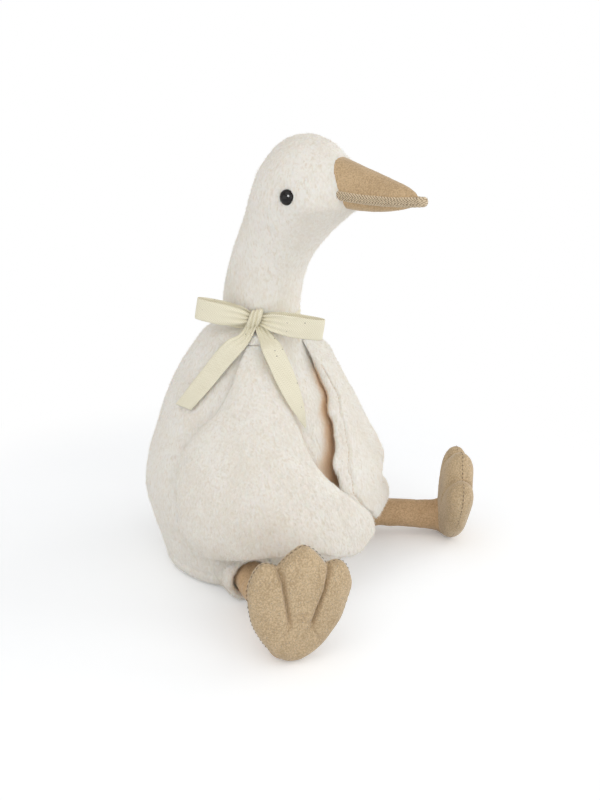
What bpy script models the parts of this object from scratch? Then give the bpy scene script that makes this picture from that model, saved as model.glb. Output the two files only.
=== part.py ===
"""A seated plush goose, in metres, +Z up, beak towards -Y, origin on the floor under the middle of its seat.

Run it with blender --background --python part.py, or from Blender's text editor.
A bearing is an angle seen from above, in degrees from straight ahead, positive towards the goose's right (-X).
"""

import math
from dataclasses import dataclass

import bmesh
import bpy
import numpy as np
from mathutils import Matrix, Vector

# Gaps
SEAM_GAP = 0.0003          # between two pieces that are sewn or seated together
DRAPE_GAP = 0.0010         # between a draped piece and the skin under it
STITCH_GAP = 0.0006        # between a wing's sewn upper edge and the shoulder, measured level

# Body cover: body, neck and head in one stuffed skin
SEAT_RADIUS = 0.072        # the flat patch that rests on the floor
BODY_WIDTH = 0.173
BODY_DEPTH = 0.173
GIRTH_HEIGHT = 0.060       # where the body is widest
NECK_HEIGHT = 0.194        # of the crease between shoulders and neck
CROWN_LEAN = 0.0016        # how far the crown sits ahead of the middle of the head
NECK_FORWARD = 0.0100      # of the neck's root, ahead of the seat
NECK_WIDTH = 0.056
NECK_DEPTH = 0.0575
CROWN_HEIGHT = 0.333
HEAD_WIDTH = 0.068
HEAD_LENGTH = 0.0865
HEAD_HEIGHT = CROWN_HEIGHT - 0.044    # of the middle of the head
HEAD_FORWARD = 0.055       # of the middle of the head, ahead of the seat
AROUND = 32                # corners of each level slice
SKIN_STEPS = 2             # slices between two stations

# Bill
BILL_REACH = 0.150         # tip ahead of the seat
BILL_BASE_FORWARD = 0.069  # where the bill starts, inside the head
BILL_WIDTH = 0.034
BILL_DROOP = 4.0           # degrees that the mouth slopes down towards the tip
UPPER_BILL_HEIGHT = 0.0228
LOWER_BILL_DEPTH = 0.0078
MOUTH_HEIGHT = HEAD_HEIGHT + 0.0103   # at the base of the bill
MOUTH_SAG = 0.0026         # of the mouth's middle below a straight line
WELT_THICKNESS = 0.0055
WELT_PROUD = 0.0016        # how far the welt stands out past the bill
WELT_EASE = 0.0010         # of its edges
UPPER_BILL_SHORT = 0.0035  # of the upper half's end, behind the welt's
LOWER_BILL_SHORT = 0.0045
BILL_SWEEPS = (0, 12, 24, 36, 48, 60, 70, 79, 86)     # where its sections lie, as angles of a quarter turn

# Eyes
EYE_DIAMETER = 0.0110
EYE_DOME = 0.0045
EYE_SINK = 0.0018          # how deep the eye sits in the face
EYE_HEIGHT = HEAD_HEIGHT + 0.0044
EYE_BEARING = 76.5         # seen from the middle of the head
SHANK_DIAMETER = 0.0032
SHANK_LENGTH = 0.0100
WASHER_DIAMETER = 0.0120
WASHER_THICKNESS = 0.0015
WASHER_DEPTH = 0.0055      # from the eye's back to the washer

# Legs
HIP_SIDE = 0.052
HIP_FORWARD = 0.025
HIP_HEIGHT = 0.0215
THIGH_ROOT_RADIUS = 0.0208
THIGH_RADIUS = 0.0188      # at its open end
THIGH_LENGTH = 0.050
SOCKET_DEPTH = 0.012
LEG_RADIUS = 0.0120

# Feet
FOOT_LENGTH = 0.084
FOOT_WIDTH = 0.073
FOOT_THICKNESS = 0.023
FOOT_REST = 0.0005         # height of the heel above the floor
TOE_NOTCH = 0.466          # where the toes part, as a share of the half width
GROOVE_DEPTH = 0.0030

# Wings
WING_THICKNESS = 0.0100
WING_TOP = 0.185
THIGH_LIFT = 0.010         # how much farther the hem stands off over the thigh
THIGH_BEARING = 50.0
SEWN_SHARE = 0.12          # share of the wing's height over which it leaves the shoulder

# Ribbon
RIBBON_WIDTH = 0.0155
RIBBON_THICKNESS = 0.0008
BAND_WIDTH = 0.0105        # the turn round the neck is drawn in by the knot
BAND_HEIGHT = 0.1995
BOW_LIFT = 0.0045          # of the bow above the middle of the band
BOW_BEARING = 55.0
LEFT_LOOP_LENGTH = 0.043
RIGHT_LOOP_LENGTH = 0.050
LOOP_TILT = 0.0075         # the viewer's left loop ends this much higher, the right one lower
KNOT_WIDTH = 0.0115
KNOT_HEIGHT = 0.0125
KNOT_DEPTH = 0.0095

CREAM = (0.86, 0.82, 0.74, 1.0)
TAN = (0.50, 0.36, 0.21, 1.0)
IVORY = (0.86, 0.80, 0.62, 1.0)
BLACK = (0.012, 0.012, 0.012, 1.0)


@dataclass(frozen=True)
class Stance:
    """How one leg is put. Bearings are positive towards the leg's own side."""

    splay: float           # bearing of the leg
    reach: float           # from the hip to the middle of the foot's thickness, seen from above
    facing: float          # bearing of the foot's sole
    lean: float            # degrees that the toes lean in towards the other foot
    nod: float             # degrees that they lean forward
    ankle_height: float    # of the leg's middle line where it meets the foot


@dataclass(frozen=True)
class Drape:
    """How one wing hangs. Bearings are positive towards the wing's own side.

    front and rear are the bearings of its two long edges at equal drops from shoulder to hem.
    hem is the height of its lower edge, at equal steps from the front edge to the rear edge.
    flare is how far the hem stands off the body, curl how late on the way down it does so, and rear_ease the
    share of it that the rear edge keeps. fold is the bearing, height and depth of a dent between two lobes.
    """

    front: tuple
    rear: tuple
    hem: tuple
    flare: float
    curl: float
    rear_ease: float
    fold: tuple


RIGHT_STANCE = Stance(splay=28.3, reach=0.1190, facing=33.0, lean=6.5, nod=0.0, ankle_height=0.0165)
LEFT_STANCE = Stance(splay=37.5, reach=0.1135, facing=37.0, lean=15.0, nod=4.0, ankle_height=0.0160)
RIGHT_DRAPE = Drape(
    front=(44, 35.5, 30, 25.6, 22.8, 20.3, 16, 9, 1, -6, -9),
    rear=(57, 60, 63.5, 69, 78, 84, 86.5, 86, 84, 81, 77),
    hem=(0.041, 0.031, 0.031, 0.037, 0.045, 0.0475, 0.0480, 0.0450, 0.0410, 0.0380, 0.0420),
    flare=0.020, curl=1.6, rear_ease=0.15, fold=(50, 0.060, 0.0))
LEFT_DRAPE = Drape(
    front=(0, 2, 5, 8, 9, 8.5, 2, -5, -3, 4, 13),
    rear=(52, 56, 60, 64, 68, 72, 76, 80, 83, 84, 82),
    hem=(0.048, 0.041, 0.041, 0.042, 0.043, 0.047, 0.064, 0.066, 0.064, 0.067, 0.084),
    flare=0.0120, curl=3.2, rear_ease=0.8, fold=(46, 0.060, 0.0100))


# Materials and collections

def material(name, colour, roughness):
    """A plain surface of one colour."""
    made = bpy.data.materials.new(name)
    made.use_nodes = True
    shader = made.node_tree.nodes["Principled BSDF"]
    shader.inputs["Base Color"].default_value = colour
    shader.inputs["Roughness"].default_value = roughness
    shader.inputs["Metallic"].default_value = 0.0
    return made


def collection(name):
    """A new collection in the scene."""
    made = bpy.data.collections.new(name)
    bpy.context.scene.collection.children.link(made)
    return made


class Workshop:
    """The collections that pieces and cutters go into, and the materials they take."""

    def __init__(self):
        self.pieces = collection("plush_goose")
        self.cutters = collection("cutters")
        self.fur = material("cream_fur", CREAM, 0.95)
        self.velvet = material("tan_velvet", TAN, 0.90)
        self.tape = material("ivory_tape", IVORY, 0.80)
        self.gloss = material("black_plastic", BLACK, 0.12)

    def piece(self, name, mesh, surface):
        """A new part of the goose from a mesh."""
        made = bpy.data.objects.new(name, mesh)
        mesh.materials.append(surface)
        self.pieces.objects.link(made)
        return made

    def cutter(self, name, mesh):
        """A helper shape that is never part of the goose."""
        made = bpy.data.objects.new(name, mesh)
        self.cutters.objects.link(made)
        made.hide_render = True
        made.display_type = "WIRE"
        return made


# Mesh helpers

def mesh_of(name, shape):
    """A mesh from a finished bmesh, shaded smooth but for its sharp edges."""
    bmesh.ops.recalc_face_normals(shape, faces=shape.faces)
    mesh = bpy.data.meshes.new(name)
    shape.to_mesh(mesh)
    shape.free()
    mesh.shade_smooth()
    mesh.set_sharp_from_angle(angle=math.radians(50))
    return mesh


def loft(name, rings):
    """A closed skin over rings of points, each ring with as many points as the next, with flat ends."""
    shape = bmesh.new()
    loops = [[shape.verts.new(point) for point in ring] for ring in rings]
    for lower, upper in zip(loops, loops[1:]):
        for i in range(len(lower)):
            j = (i + 1) % len(lower)
            shape.faces.new((lower[i], lower[j], upper[j], upper[i]))
    shape.faces.new(loops[0])
    shape.faces.new(loops[-1])
    return mesh_of(name, shape)


def cut(target, cutter):
    """Takes the cutter's shape away from the target."""
    step = target.modifiers.new("cut_" + cutter.name, "BOOLEAN")
    step.operation = "DIFFERENCE"
    step.solver = "EXACT"
    step.object = cutter


def join(target, other):
    """Makes the other shape part of the target."""
    step = target.modifiers.new("join_" + other.name, "BOOLEAN")
    step.operation = "UNION"
    step.solver = "EXACT"
    step.object = other


def thicken(target, thickness, offset=0.0):
    """Gives an open surface its wall."""
    step = target.modifiers.new("wall", "SOLIDIFY")
    step.thickness = thickness
    step.offset = offset
    step.use_even_offset = True


def turned_mesh(name, profile):
    """An open half profile (radius, height), to be turned about local Z by the Screw modifier."""
    shape = bmesh.new()
    points = [shape.verts.new((radius, 0.0, height)) for radius, height in profile]
    for a, b in zip(points, points[1:]):
        shape.edges.new((a, b))
    mesh = bpy.data.meshes.new(name)
    shape.to_mesh(mesh)
    shape.free()
    return mesh


def turn(target, steps):
    """Turns the target's profile about its own Z axis."""
    step = target.modifiers.new("turn", "SCREW")
    step.axis = "Z"
    step.steps = steps
    step.render_steps = steps
    step.use_merge_vertices = True
    step.merge_threshold = 0.00002
    step.use_smooth_shade = True


def facing(direction, up):
    """The rotation whose local Z is the direction and whose local Y is near up."""
    z_axis = Vector(direction).normalized()
    x_axis = Vector(up).cross(z_axis).normalized()
    y_axis = z_axis.cross(x_axis)
    return Matrix((x_axis, y_axis, z_axis)).transposed().to_4x4()


# Body cover

def stations():
    """Level slices of the body cover from floor to crown: height, forward shift, half width, half depth.

    Between the seat and the neck each slice is a share of the girth. The head's slices are those of an egg.
    """
    width, depth = BODY_WIDTH / 2, BODY_DEPTH / 2
    neck_width, neck_depth = NECK_WIDTH / 2, NECK_DEPTH / 2
    seat_share = SEAT_RADIUS / width
    rise = NECK_HEIGHT - GIRTH_HEIGHT
    rows = [(0.0, 0.0, SEAT_RADIUS, SEAT_RADIUS * depth / width)]
    for lift, share, tuck in ((0.07, 0.38, 0.0045), (0.22, 0.57, 0.0055), (0.52, 0.80, 0.004)):
        size = seat_share + (1 - seat_share) * share
        rows.append((GIRTH_HEIGHT * lift, tuck, width * size, depth * size - tuck))
    rows.append((GIRTH_HEIGHT, 0.0, width, depth))
    for lift, share, shift in ((0.22, 0.928, 0.0), (0.362, 0.817, 0.0), (0.507, 0.708, 0.0), (0.652, 0.564, 0.0),
                               (0.797, 0.388, 0.13), (0.92, 0.244, 0.50), (0.968, 0.161, 0.75)):
        height = GIRTH_HEIGHT + rise * lift
        half_width = neck_width + (width - neck_width) * share
        half_depth = neck_depth + (depth - neck_depth) * share
        rows.append((height, NECK_FORWARD * shift, half_width, half_depth))
    rows.append((NECK_HEIGHT, NECK_FORWARD, neck_width * 1.01, neck_depth * 1.01))
    rows.append((NECK_HEIGHT + 0.006, NECK_FORWARD, neck_width, neck_depth))
    climb = HEAD_HEIGHT - NECK_HEIGHT
    stretch = HEAD_FORWARD - NECK_FORWARD
    for lift, lean, share in ((0.34, 0.077, 0.007), (0.555, 0.267, 0.107), (0.75, 0.55, 0.372),
                              (0.893, 0.819, 0.724)):
        half_width = neck_width + (HEAD_WIDTH - NECK_WIDTH) / 2 * share
        half_depth = neck_depth + (HEAD_LENGTH - NECK_DEPTH) / 2 * share
        rows.append((NECK_HEIGHT + climb * lift, NECK_FORWARD + stretch * lean, half_width, half_depth))
    rows.append((HEAD_HEIGHT, HEAD_FORWARD, HEAD_WIDTH / 2, HEAD_LENGTH / 2))
    for turn_up, size in ((22.0, 0.890), (42.0, 0.665), (60.0, 0.435), (76.0, 0.210)):
        height = HEAD_HEIGHT + (CROWN_HEIGHT - HEAD_HEIGHT) * math.sin(math.radians(turn_up))
        rows.append((height, HEAD_FORWARD + CROWN_LEAN, HEAD_WIDTH / 2 * size, HEAD_LENGTH / 2 * size))
    return rows


def smooth_rows(rows, steps):
    """A Catmull-Rom curve through the rows, with that many steps between two of them."""
    rows = np.array(rows)
    padded = np.vstack((2 * rows[0] - rows[1], rows, 2 * rows[-1] - rows[-2]))
    made = []
    for i in range(len(rows) - 1):
        a, b, c, d = padded[i:i + 4]
        for t in np.arange(steps) / steps:
            made.append(0.5 * (2 * b + (c - a) * t + (2 * a - 5 * b + 4 * c - d) * t ** 2
                               + (3 * b - a - 3 * c + d) * t ** 3))
    made.append(rows[-1])
    return np.array(made)


def slice_at(height):
    """Forward shift, half width and half depth of the body cover at a height."""
    rows = smooth_rows(stations(), 8)
    return tuple(np.interp(height, rows[:, 0], rows[:, k]) for k in (1, 2, 3))


SKIN = {}


def skin_slice(height):
    """slice_at, remembered, because draped pieces ask for it many times."""
    key = round(height, 6)
    if key not in SKIN:
        SKIN[key] = slice_at(height)
    return SKIN[key]


def on_skin(bearing, height, standoff):
    """The point that stands that far out, level, from the body cover."""
    forward, half_width, half_depth = skin_slice(height)
    turn_by = math.radians(bearing)
    radius = 1 / math.hypot(math.sin(turn_by) / half_width, math.cos(turn_by) / half_depth) + standoff
    return Vector((-radius * math.sin(turn_by), -forward - radius * math.cos(turn_by), height))


def cover_mesh(name, allowance=0.0):
    """The body cover's skin, grown by the allowance."""
    rings = []
    for height, forward, half_width, half_depth in smooth_rows(stations(), SKIN_STEPS):
        ring = []
        for i in range(AROUND):
            angle = 2 * math.pi * i / AROUND
            ring.append(((half_width + allowance) * math.cos(angle),
                         -forward + (half_depth + allowance) * math.sin(angle), height))
        rings.append(ring)
    if allowance:
        rings[0] = [(x, y, z - allowance) for x, y, z in rings[0]]
        rings[-1] = [(x, y, z + allowance) for x, y, z in rings[-1]]
    return loft(name, rings)


def make_body(shop):
    """The stuffed body, neck and head."""
    return shop.piece("body", cover_mesh("body"), shop.fur)


# Eyes

def eye_frame(side):
    """Where an eye's back sits on the face, and the way it looks. side is 1 for the goose's right."""
    bearing = EYE_BEARING * side
    seat = on_skin(bearing, EYE_HEIGHT, -EYE_SINK)
    outwards = seat - Vector((0.0, -skin_slice(EYE_HEIGHT)[0], EYE_HEIGHT))
    outwards.z = 0.0
    place = facing(outwards, (0, 0, 1))
    place.translation = seat
    return place


def make_eye(shop, body, side, name):
    """A plastic eye: dome and shank in one, the lock washer behind it, and their place in the face."""
    place = eye_frame(side)
    radius, shank = EYE_DIAMETER / 2, SHANK_DIAMETER / 2
    dome = [(radius * math.sin(math.radians(a)), EYE_DOME * math.cos(math.radians(a))) for a in range(0, 91, 15)]
    profile = dome + [(radius, 0.0), (shank, 0.0), (shank, -SHANK_LENGTH), (0.0, -SHANK_LENGTH)]
    profile[6:7] = []
    eye = shop.piece(name, turned_mesh(name, profile), shop.gloss)
    turn(eye, 20)
    eye.matrix_world = place
    washer_name = name + "_washer"
    hole, rim = shank + SEAM_GAP, WASHER_DIAMETER / 2
    top, low = -WASHER_DEPTH, -WASHER_DEPTH - WASHER_THICKNESS
    profile = [(hole, top), (rim, top), (rim, low), (hole, low), (hole, top)]
    washer = shop.piece(washer_name, turned_mesh(washer_name, profile), shop.gloss)
    turn(washer, 20)
    washer.matrix_world = place
    hole_profile = [
        (0.0, EYE_DOME), (radius + SEAM_GAP, EYE_DOME), (radius + SEAM_GAP, -SEAM_GAP), (hole, -SEAM_GAP),
        (hole, top + SEAM_GAP), (rim + SEAM_GAP, top + SEAM_GAP), (rim + SEAM_GAP, low - SEAM_GAP),
        (hole, low - SEAM_GAP), (hole, -SHANK_LENGTH - SEAM_GAP), (0.0, -SHANK_LENGTH - SEAM_GAP)]
    pocket = shop.cutter(name + "_pocket", turned_mesh(name + "_pocket", hole_profile))
    turn(pocket, 20)
    pocket.matrix_world = place
    cut(body, pocket)


# Bill

def bill_half_width(share):
    """Half the bill's width at a share of its length: a blunt point at 1."""
    return BILL_WIDTH / 2 * math.sqrt(max(0.0, 1 - share ** 1.7)) * (1 - 0.22 * share)


def mouth_at(forward):
    """Height of the mouth's middle plane at a distance ahead of the seat."""
    along = (forward - BILL_BASE_FORWARD) / (BILL_REACH - BILL_BASE_FORWARD)
    return (MOUTH_HEIGHT - math.tan(math.radians(BILL_DROOP)) * (forward - BILL_BASE_FORWARD)
            - MOUTH_SAG * 4 * along * (1 - along))


def bill_rings(height_of, proud, short, side_up):
    """Sections of one half of the bill, each a D lying on the welt. side_up is 1 for the upper half."""
    rings = []
    for sweep in BILL_SWEEPS:
        share = math.sin(math.radians(sweep))
        half_width = bill_half_width(share) + proud
        forward = BILL_BASE_FORWARD + (BILL_REACH - BILL_BASE_FORWARD - short) * share
        ring = []
        for i in range(13):
            angle = math.pi * i / 12
            rise = WELT_THICKNESS / 2 + SEAM_GAP + height_of(share) * math.sin(angle) ** 0.9
            ring.append((half_width * math.cos(angle), -forward, mouth_at(forward) + side_up * rise))
        rings.append(ring)
    return rings


def welt_rings():
    """Sections of the welt, each a flat bar with eased edges."""
    rings = []
    for sweep in BILL_SWEEPS:
        share = math.sin(math.radians(sweep))
        half_width = bill_half_width(share) + WELT_PROUD
        forward = BILL_BASE_FORWARD + (BILL_REACH - BILL_BASE_FORWARD + WELT_PROUD) * share
        eased = half_width - WELT_EASE
        edge = ((eased, -0.5), (half_width, -0.25), (half_width, 0.25), (eased, 0.5))
        rings.append([(side * reach, -forward, mouth_at(forward) + side * level * WELT_THICKNESS)
                      for side in (1, -1) for reach, level in edge])
    return rings


def make_bill(shop, face):
    """Upper bill, lower bill and the stitched welt between them, all sewn to the face."""
    upper = shop.piece("upper_bill", loft("upper_bill", bill_rings(
        lambda share: UPPER_BILL_HEIGHT * (1 - 0.90 * share ** 1.4), 0.0, UPPER_BILL_SHORT, 1)), shop.velvet)
    lower = shop.piece("lower_bill", loft("lower_bill", bill_rings(
        lambda share: LOWER_BILL_DEPTH * (1 - 0.9 * share ** 3), -WELT_PROUD, LOWER_BILL_SHORT, -1)), shop.velvet)
    welt = shop.piece("mouth_welt", loft("mouth_welt", welt_rings()), shop.velvet)
    for part in (upper, lower, welt):
        cut(part, face)


# Legs and feet

def heading_at(bearing, side):
    """The level direction at a bearing towards the leg's own side."""
    return Vector((-side * math.sin(math.radians(bearing)), -math.cos(math.radians(bearing)), 0.0))


def limb_points(side, stance):
    """The two ends of a leg's middle line: in the hip and at the middle of the foot's thickness."""
    hip = Vector((-side * HIP_SIDE, -HIP_FORWARD, HIP_HEIGHT))
    ankle = hip + heading_at(stance.splay, side) * stance.reach
    ankle.z = stance.ankle_height
    return hip, ankle


def limb_place(side, stance):
    """A leg's frame: origin at the hip, local Z towards the foot."""
    hip, ankle = limb_points(side, stance)
    place = facing(ankle - hip, (0, 0, 1))
    place.translation = hip
    return place


def make_thigh(shop, place, name, skin):
    """A short stuffed sleeve of fur with an open end that the leg is sewn into."""
    lip = 0.004
    bore = LEG_RADIUS + SEAM_GAP
    floor = THIGH_LENGTH - SOCKET_DEPTH
    profile = [(0.0, floor), (bore, floor), (bore, THIGH_LENGTH - 0.002), (bore + 0.002, THIGH_LENGTH)]
    for turn_by in (0, 30, 60, 90):
        profile.append((THIGH_RADIUS - lip + lip * math.sin(math.radians(turn_by)),
                        THIGH_LENGTH - lip + lip * math.cos(math.radians(turn_by))))
    profile += [(THIGH_ROOT_RADIUS, THIGH_LENGTH * 0.3), (THIGH_ROOT_RADIUS, 0.0), (0.0, 0.0)]
    thigh = shop.piece(name, turned_mesh(name, profile), shop.fur)
    turn(thigh, 24)
    thigh.matrix_world = place
    cut(thigh, skin)


def make_leg(shop, place, length, name, foot_skin):
    """The stuffed velvet leg, from its seat in the thigh to the back of the foot."""
    start = THIGH_LENGTH - SOCKET_DEPTH + SEAM_GAP
    profile = [(0.0, length), (LEG_RADIUS, length), (LEG_RADIUS, start), (0.0, start)]
    leg = shop.piece(name, turned_mesh(name, profile), shop.velvet)
    turn(leg, 20)
    leg.matrix_world = place
    cut(leg, foot_skin)


def pillow(name, front, back):
    """A closed skin of two grids of points that share their border, like two cloths sewn edge to edge."""
    rows, columns = len(front), len(front[0])
    shape = bmesh.new()
    top = [[shape.verts.new(point) for point in row] for row in front]
    low = [[top[i][j] if i in (0, rows - 1) or j in (0, columns - 1) else shape.verts.new(back[i][j])
            for j in range(columns)] for i in range(rows)]
    for i in range(rows - 1):
        for j in range(columns - 1):
            for grid in (top, low):
                shape.faces.new((grid[i][j], grid[i][j + 1], grid[i + 1][j + 1], grid[i + 1][j]))
    return mesh_of(name, shape)


FOOT_COLUMNS = (0.0, 0.12, 0.24, 0.35, 0.42, TOE_NOTCH, 0.51, 0.60, 0.70, 0.80, 0.89, 0.96, 1.0)
FOOT_ROWS = (0.0, 0.05, 0.12, 0.21, 0.31, 0.41, 0.51, 0.61, 0.71, 0.80, 0.88, 0.95, 1.0)


def toe_line(across):
    """Height of the toes' outline at a share of the half width: a tall middle toe and two flat outer toes."""
    across = abs(across)
    web = 0.835
    if across < TOE_NOTCH:
        return web + (1 - web) * (1 - (across / TOE_NOTCH) ** 1.55)
    outward = (across - TOE_NOTCH) / (1 - TOE_NOTCH)
    return web + 0.030 * math.sin(math.pi * outward) - 0.215 * outward ** 5


def foot_mesh(name, allowance=0.0):
    """A flat stuffed foot standing on its heel: local X across, Y to the toes, Z out through the sole."""
    half = FOOT_WIDTH / 2
    columns = [-share for share in FOOT_COLUMNS[:0:-1]] + list(FOOT_COLUMNS)
    front, back = [], []
    for along in FOOT_ROWS:
        sole_row, back_row = [], []
        for across in columns:
            heel_across = math.copysign(abs(across) ** 2.2, across)
            heel = Vector((half * heel_across, FOOT_LENGTH * (0.5 - 0.5 * math.sqrt(1 - heel_across ** 2)), 0.0))
            toe = Vector((half * across, FOOT_LENGTH * toe_line(across), 0.0))
            point = heel.lerp(toe, along)
            fullness = math.sqrt(max(0.0, (1 - abs(across) ** 5) * (1 - abs(2 * along - 1) ** 4)))
            puff = FOOT_THICKNESS / 2 * fullness
            line = math.exp(-((abs(across) - TOE_NOTCH) / 0.055) ** 2) * min(1.0, max(0.0, (along - 0.33) * 5))
            grow = 1 + allowance * 2 / FOOT_WIDTH
            middle = FOOT_LENGTH / 2
            point = Vector((point.x * grow, (point.y - middle) * grow + middle, 0.0))
            groove = min(GROOVE_DEPTH, puff * 0.7) * line
            sole_row.append(point + Vector((0, 0, puff - groove + allowance * fullness)))
            back_row.append(point - Vector((0, 0, puff + allowance * fullness)))
        front.append(sole_row)
        back.append(back_row)
    return pillow(name, front, back)


def foot_place(side, stance):
    """A foot's frame: heel on the floor at the end of its leg, sole facing forward."""
    ankle = limb_points(side, stance)[1]
    heading = heading_at(stance.facing, side)
    lean, nod = math.radians(stance.lean), math.radians(stance.nod)
    inwards = Vector((-side * heading.y, side * heading.x, 0.0))
    toes_up = Vector((0, 0, math.cos(lean))) + inwards * math.sin(lean)
    place = facing(heading * math.cos(nod) - toes_up * math.sin(nod),
                   toes_up * math.cos(nod) + heading * math.sin(nod))
    place.translation = Vector((ankle.x, ankle.y, FOOT_REST))
    return place


def make_limb(shop, side, word, stance, skin):
    """Thigh, leg and foot of one side."""
    foot = shop.piece(word + "_foot", foot_mesh(word + "_foot"), shop.velvet)
    foot.matrix_world = foot_place(side, stance)
    foot_skin = shop.cutter(word + "_foot_skin", foot_mesh(word + "_foot_skin", SEAM_GAP * 1.5))
    foot_skin.matrix_world = foot_place(side, stance)
    hip, ankle = limb_points(side, stance)
    place = limb_place(side, stance)
    make_thigh(shop, place, word + "_thigh", skin)
    make_leg(shop, place, (ankle - hip).length, word + "_leg", foot_skin)


# Wings

WING_ROWS = 17
WING_COLUMNS = 17


def spread_over(values, share):
    """The value at a share of the way along equally spaced values."""
    return float(np.interp(share, np.linspace(0, 1, len(values)), values))


def wing_point(drape, drop, spread):
    """Where a wing's middle layer is: bearing, height and how far it stands off the body.

    drop runs from 0 at the shoulder to 1 at the hem, spread from 0 at the front edge to 1 at the rear edge.
    """
    front, rear = spread_over(drape.front, drop), spread_over(drape.rear, drop)
    bearing = front + (rear - front) * spread
    height = WING_TOP + (spread_over(drape.hem, spread) - WING_TOP) * drop
    over_thigh = math.exp(-((bearing - THIGH_BEARING) / 22.0) ** 2)
    keep = 1 - (1 - drape.rear_ease) * spread ** 3
    flare = drop ** drape.curl * (drape.flare + THIGH_LIFT * over_thigh) * keep
    fold_bearing, fold_height, fold_depth = drape.fold
    flare -= fold_depth * math.exp(-((bearing - fold_bearing) / 15.0) ** 2 - ((height - fold_height) / 0.008) ** 2)
    loose = min(1.0, drop / SEWN_SHARE)
    return bearing, height, STITCH_GAP + (DRAPE_GAP - STITCH_GAP + WING_THICKNESS / 2) * loose + flare


def make_wing(shop, side, name, drape):
    """A wing of two fur layers sewn edge to edge, hanging from the shoulder over the thigh."""
    front, back = [], []
    for drop in np.linspace(0, 1, WING_ROWS):
        front_row, back_row = [], []
        for spread in np.linspace(0, 1, WING_COLUMNS):
            bearing, height, ease = wing_point(drape, drop, spread)
            fullness = math.sqrt((1 - abs(2 * spread - 1) ** 5) * (1 - abs(2 * drop - 1) ** 5))
            puff = WING_THICKNESS / 2 * fullness * min(1.0, drop / SEWN_SHARE)
            front_row.append(on_skin(bearing * side, height, ease + puff))
            back_row.append(on_skin(bearing * side, height, ease - puff))
        front.append(front_row)
        back.append(back_row)
    shop.piece(name, pillow(name, front, back), shop.fur)


# Ribbon

def bow_frame():
    """The bow's frame: origin on the neck under the knot, X to the viewer's right, Y up, Z out from the neck."""
    outwards = Vector((-math.sin(math.radians(BOW_BEARING)), -math.cos(math.radians(BOW_BEARING)), 0.0))
    place = facing(outwards, (0, 0, 1))
    place.translation = on_skin(BOW_BEARING, BAND_HEIGHT, 0.0) + Vector((0, 0, BOW_LIFT))
    return place


def strip(shop, name, rows):
    """A cutter-side strip of tape: each row is its middle, the direction across it, and its width."""
    shape = bmesh.new()
    pairs = []
    for middle, across, width in rows:
        reach = across.normalized() * width / 2
        pairs.append((shape.verts.new(middle - reach), shape.verts.new(middle + reach)))
    for (a, b), (c, d) in zip(pairs, pairs[1:]):
        shape.faces.new((a, c, d, b))
    mesh = bpy.data.meshes.new(name)
    shape.to_mesh(mesh)
    shape.free()
    made = shop.cutter(name, mesh)
    thicken(made, RIBBON_THICKNESS)
    return made


def loop_rows(direction, length, lift):
    """One bow loop: out from the knot, round its end and back behind, standing on edge."""
    place = bow_frame()
    rows = []
    for out, away, share in ((0.00, 0.0050, 0.42), (0.10, 0.0062, 0.55), (0.25, 0.0080, 0.85), (0.50, 0.0088, 1.0),
                             (0.78, 0.0080, 1.0), (0.94, 0.0064, 1.0), (1.00, 0.0042, 1.0), (0.96, 0.0022, 1.0),
                             (0.80, 0.0014, 1.0), (0.50, 0.0018, 1.0), (0.25, 0.0020, 0.85), (0.10, 0.0022, 0.55),
                             (0.00, 0.0026, 0.42)):
        middle = Vector((direction * length * out, lift * out, away))
        across = Vector((-lift * direction / length, 1.0, 0.0))
        rows.append((place @ middle, place.to_3x3() @ across, RIBBON_WIDTH * share))
    return rows


def tail_rows(points):
    """A tail of tape lying over the shoulder. Each point is bearing, height, standoff and share of full width."""
    place = bow_frame()
    middles = [place @ Vector((0.0, 0.0, KNOT_DEPTH / 2))] + [on_skin(*point[:3]) for point in points]
    widths = [0.45] + [point[3] for point in points]
    rows = []
    for i, middle in enumerate(middles):
        ahead = middles[min(i + 1, len(middles) - 1)] - middles[max(i - 1, 0)]
        bearing = math.radians(points[max(i - 1, 0)][0])
        outwards = Vector((-math.sin(bearing), -math.cos(bearing), 0.35))
        rows.append((middle, outwards.cross(ahead), RIBBON_WIDTH * widths[i]))
    return rows


LEFT_TAIL = ((63.0, 0.1910, 0.0050, 0.75), (68.5, 0.1850, 0.0066, 0.95), (75.5, 0.175, 0.0058, 1.0),
             (82.0, 0.163, 0.0048, 1.0), (89.0, 0.151, 0.0042, 1.0), (96.0, 0.1385, 0.0040, 1.0))
RIGHT_TAIL = ((47.0, 0.1925, 0.0060, 0.75), (42.0, 0.186, 0.0120, 0.95), (36.0, 0.175, 0.0145, 1.0),
              (30.5, 0.164, 0.0152, 1.0), (26.5, 0.154, 0.0154, 0.88), (23.0, 0.143, 0.0146, 0.60),
              (19.5, 0.130, 0.0125, 0.10))


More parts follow.
